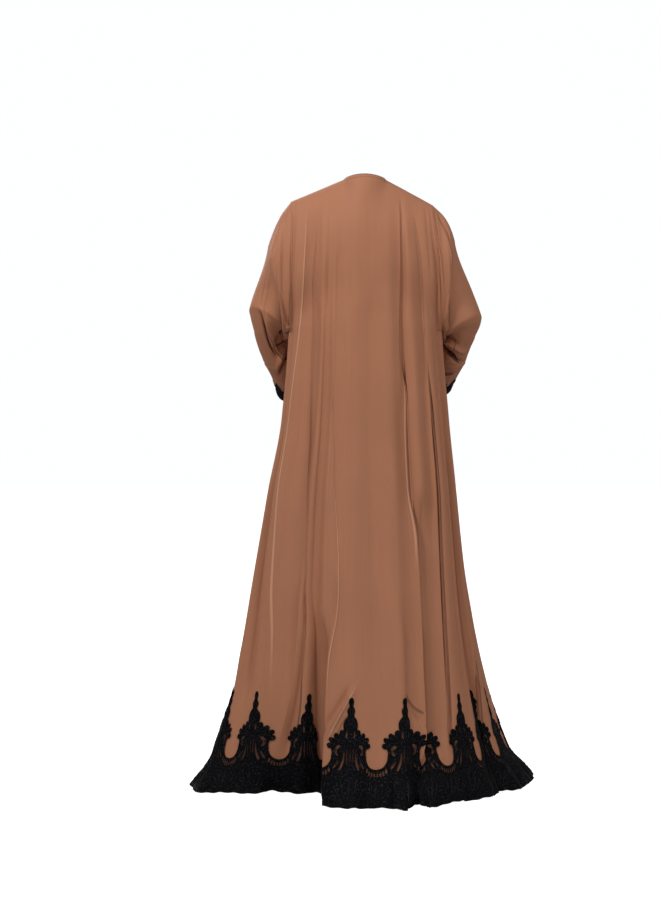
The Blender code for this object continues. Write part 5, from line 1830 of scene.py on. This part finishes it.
BROWN_THREAD_AND_PAINTED_EDGE_SHADE = sewing_thread_and_painted_edge_shade()
STITCHES = stitch_tree(BROWN_THREAD_AND_PAINTED_EDGE_SHADE)
STITCH_SIZES = {"Pitch": STITCH_PITCH, "Length": STITCH_LENGTH, "Radius": STITCH_RADIUS}
neck_row, edge_row = stitch_line("neck line", back_neck), stitch_line("edge line", right_edge)
stitches = {
    "back": make_plain("neck_stitches", neck_row, STITCHES, STITCH_SIZES),
    "front_right": make_plain("front_edge_stitches", edge_row, STITCHES, STITCH_SIZES),
}
NECK_EDGES = (
    (BACK, 4.98, 6.68),
    (FRONT_RIGHT, 15.55, CENTRE_FRONT + LAP),
    (FRONT_LEFT, CENTRE_FRONT + LAP, 16.52),
)
ROLL_RADIUS = 0.0012
ROLL_STEPS = 40
ROLL_TAPER = 0.12
ROLL_SIZES = {"Sides": 8, "Flatness": 1.0}
# The rolled neck edge takes the dark thread finish, a painted shade along the neckline.
ROLLS = cord_tree(BROWN_THREAD_AND_PAINTED_EDGE_SHADE)


def neck_roll(panel, first, last):
    """The rolled edge of one panel's neckline, darkened by the thread's brown as painted shade."""
    share = np.linspace(0.0, 1.0, ROLL_STEPS)
    at = first + (last - first) * share
    places = panel_point(panel, np.clip(at, panel.first, panel.last), np.full(ROLL_STEPS, 2.0))
    line = stitch_line("neck edge", places)
    wide = ROLL_RADIUS * (0.2 + 0.8 * np.clip(np.minimum(share, 1 - share) / ROLL_TAPER, 0.0, 1.0))
    line.data.attributes.new("wide", "FLOAT", "POINT").data.foreach_set("value", wide.astype(np.float32))
    upward = np.tile(np.array([0.0, 0.0, 1.0], np.float32), ROLL_STEPS)
    line.data.attributes.new("outward", "FLOAT_VECTOR", "POINT").data.foreach_set("vector", upward)
    return make_plain(panel.name + "_neck_edge", line, ROLLS, ROLL_SIZES)


rolls = {panel.name: neck_roll(panel, first, last) for panel, first, last in NECK_EDGES}
print("stitch faces:", {name: len(made.data.polygons) for name, made in stitches.items()})

# %% [markdown]
# ## Joining the dress to its model
#
# Every piece rides on the garment's one body. Each cloth sheet takes the place of its plain wall, and its
# area is printed with the area of its cut, so that the two can be compared. The flat size was read off the
# model's own lines. Lace is cloth too, so its grounds and cords take the place of their plain walls. Their
# sizes and areas are measured here, as the model has them.

# %% Ride and replace
CutSize = namedtuple("CutSize", "width length area")
LENGTH_STEPS = 600
PANEL_CUTS = {
    "back": CutSize(1.86, 1.67, 1.75),
    "front_right": CutSize(0.66, 1.67, 0.66),
    "front_left": CutSize(0.66, 1.63, 0.66),
    "sleeve_left": CutSize(0.81, 0.62, 0.19),
    "sleeve_right": CutSize(0.79, 0.63, 0.19),
}


def sheet_area(made):
    """Half of a closed sheet's surface, which is the area of the cloth."""
    return sum(face.area for face in made.data.polygons) / 2


def line_length(points):
    """Length of a line through points."""
    return float(np.linalg.norm(np.diff(points, axis=0), axis=1).sum())


def border_flat(border):
    """Length of a border along its bottom edge, and its height up the middle, both on the model."""
    wall = border.wall
    along = np.linspace(wall.first, wall.last, LENGTH_STEPS)
    up = np.linspace(0.0, border.height, LENGTH_STEPS)
    middle = np.full_like(up, (wall.first + wall.last) / 2)
    bottom = line_length(wall.point(along, np.zeros_like(along)))
    return round(bottom, 3), round(line_length(wall.point(middle, up)), 3)


for node, made in sheets.items():
    made.data.materials.append(FINISHES[CREPES[node]])
    cut = PANEL_CUTS[node]
    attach(made, BODY)
    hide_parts(node)
    print(node, "cloth area:", round(sheet_area(made), 3), "cut:", cut.area)

for made in (*stitches.values(), *rolls.values()):
    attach(made, BODY)

for border in BORDERS:
    ground, raised = grounds[border.name], cords[border.name]
    ground.data.materials.append(NET)
    for made in (ground, raised):
        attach(made, BODY)
    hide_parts(border.node)
    area = round(sheet_area(ground), 4)
    flat = border_flat(border)
    print(border.node, "flat:", flat, "area:", area)
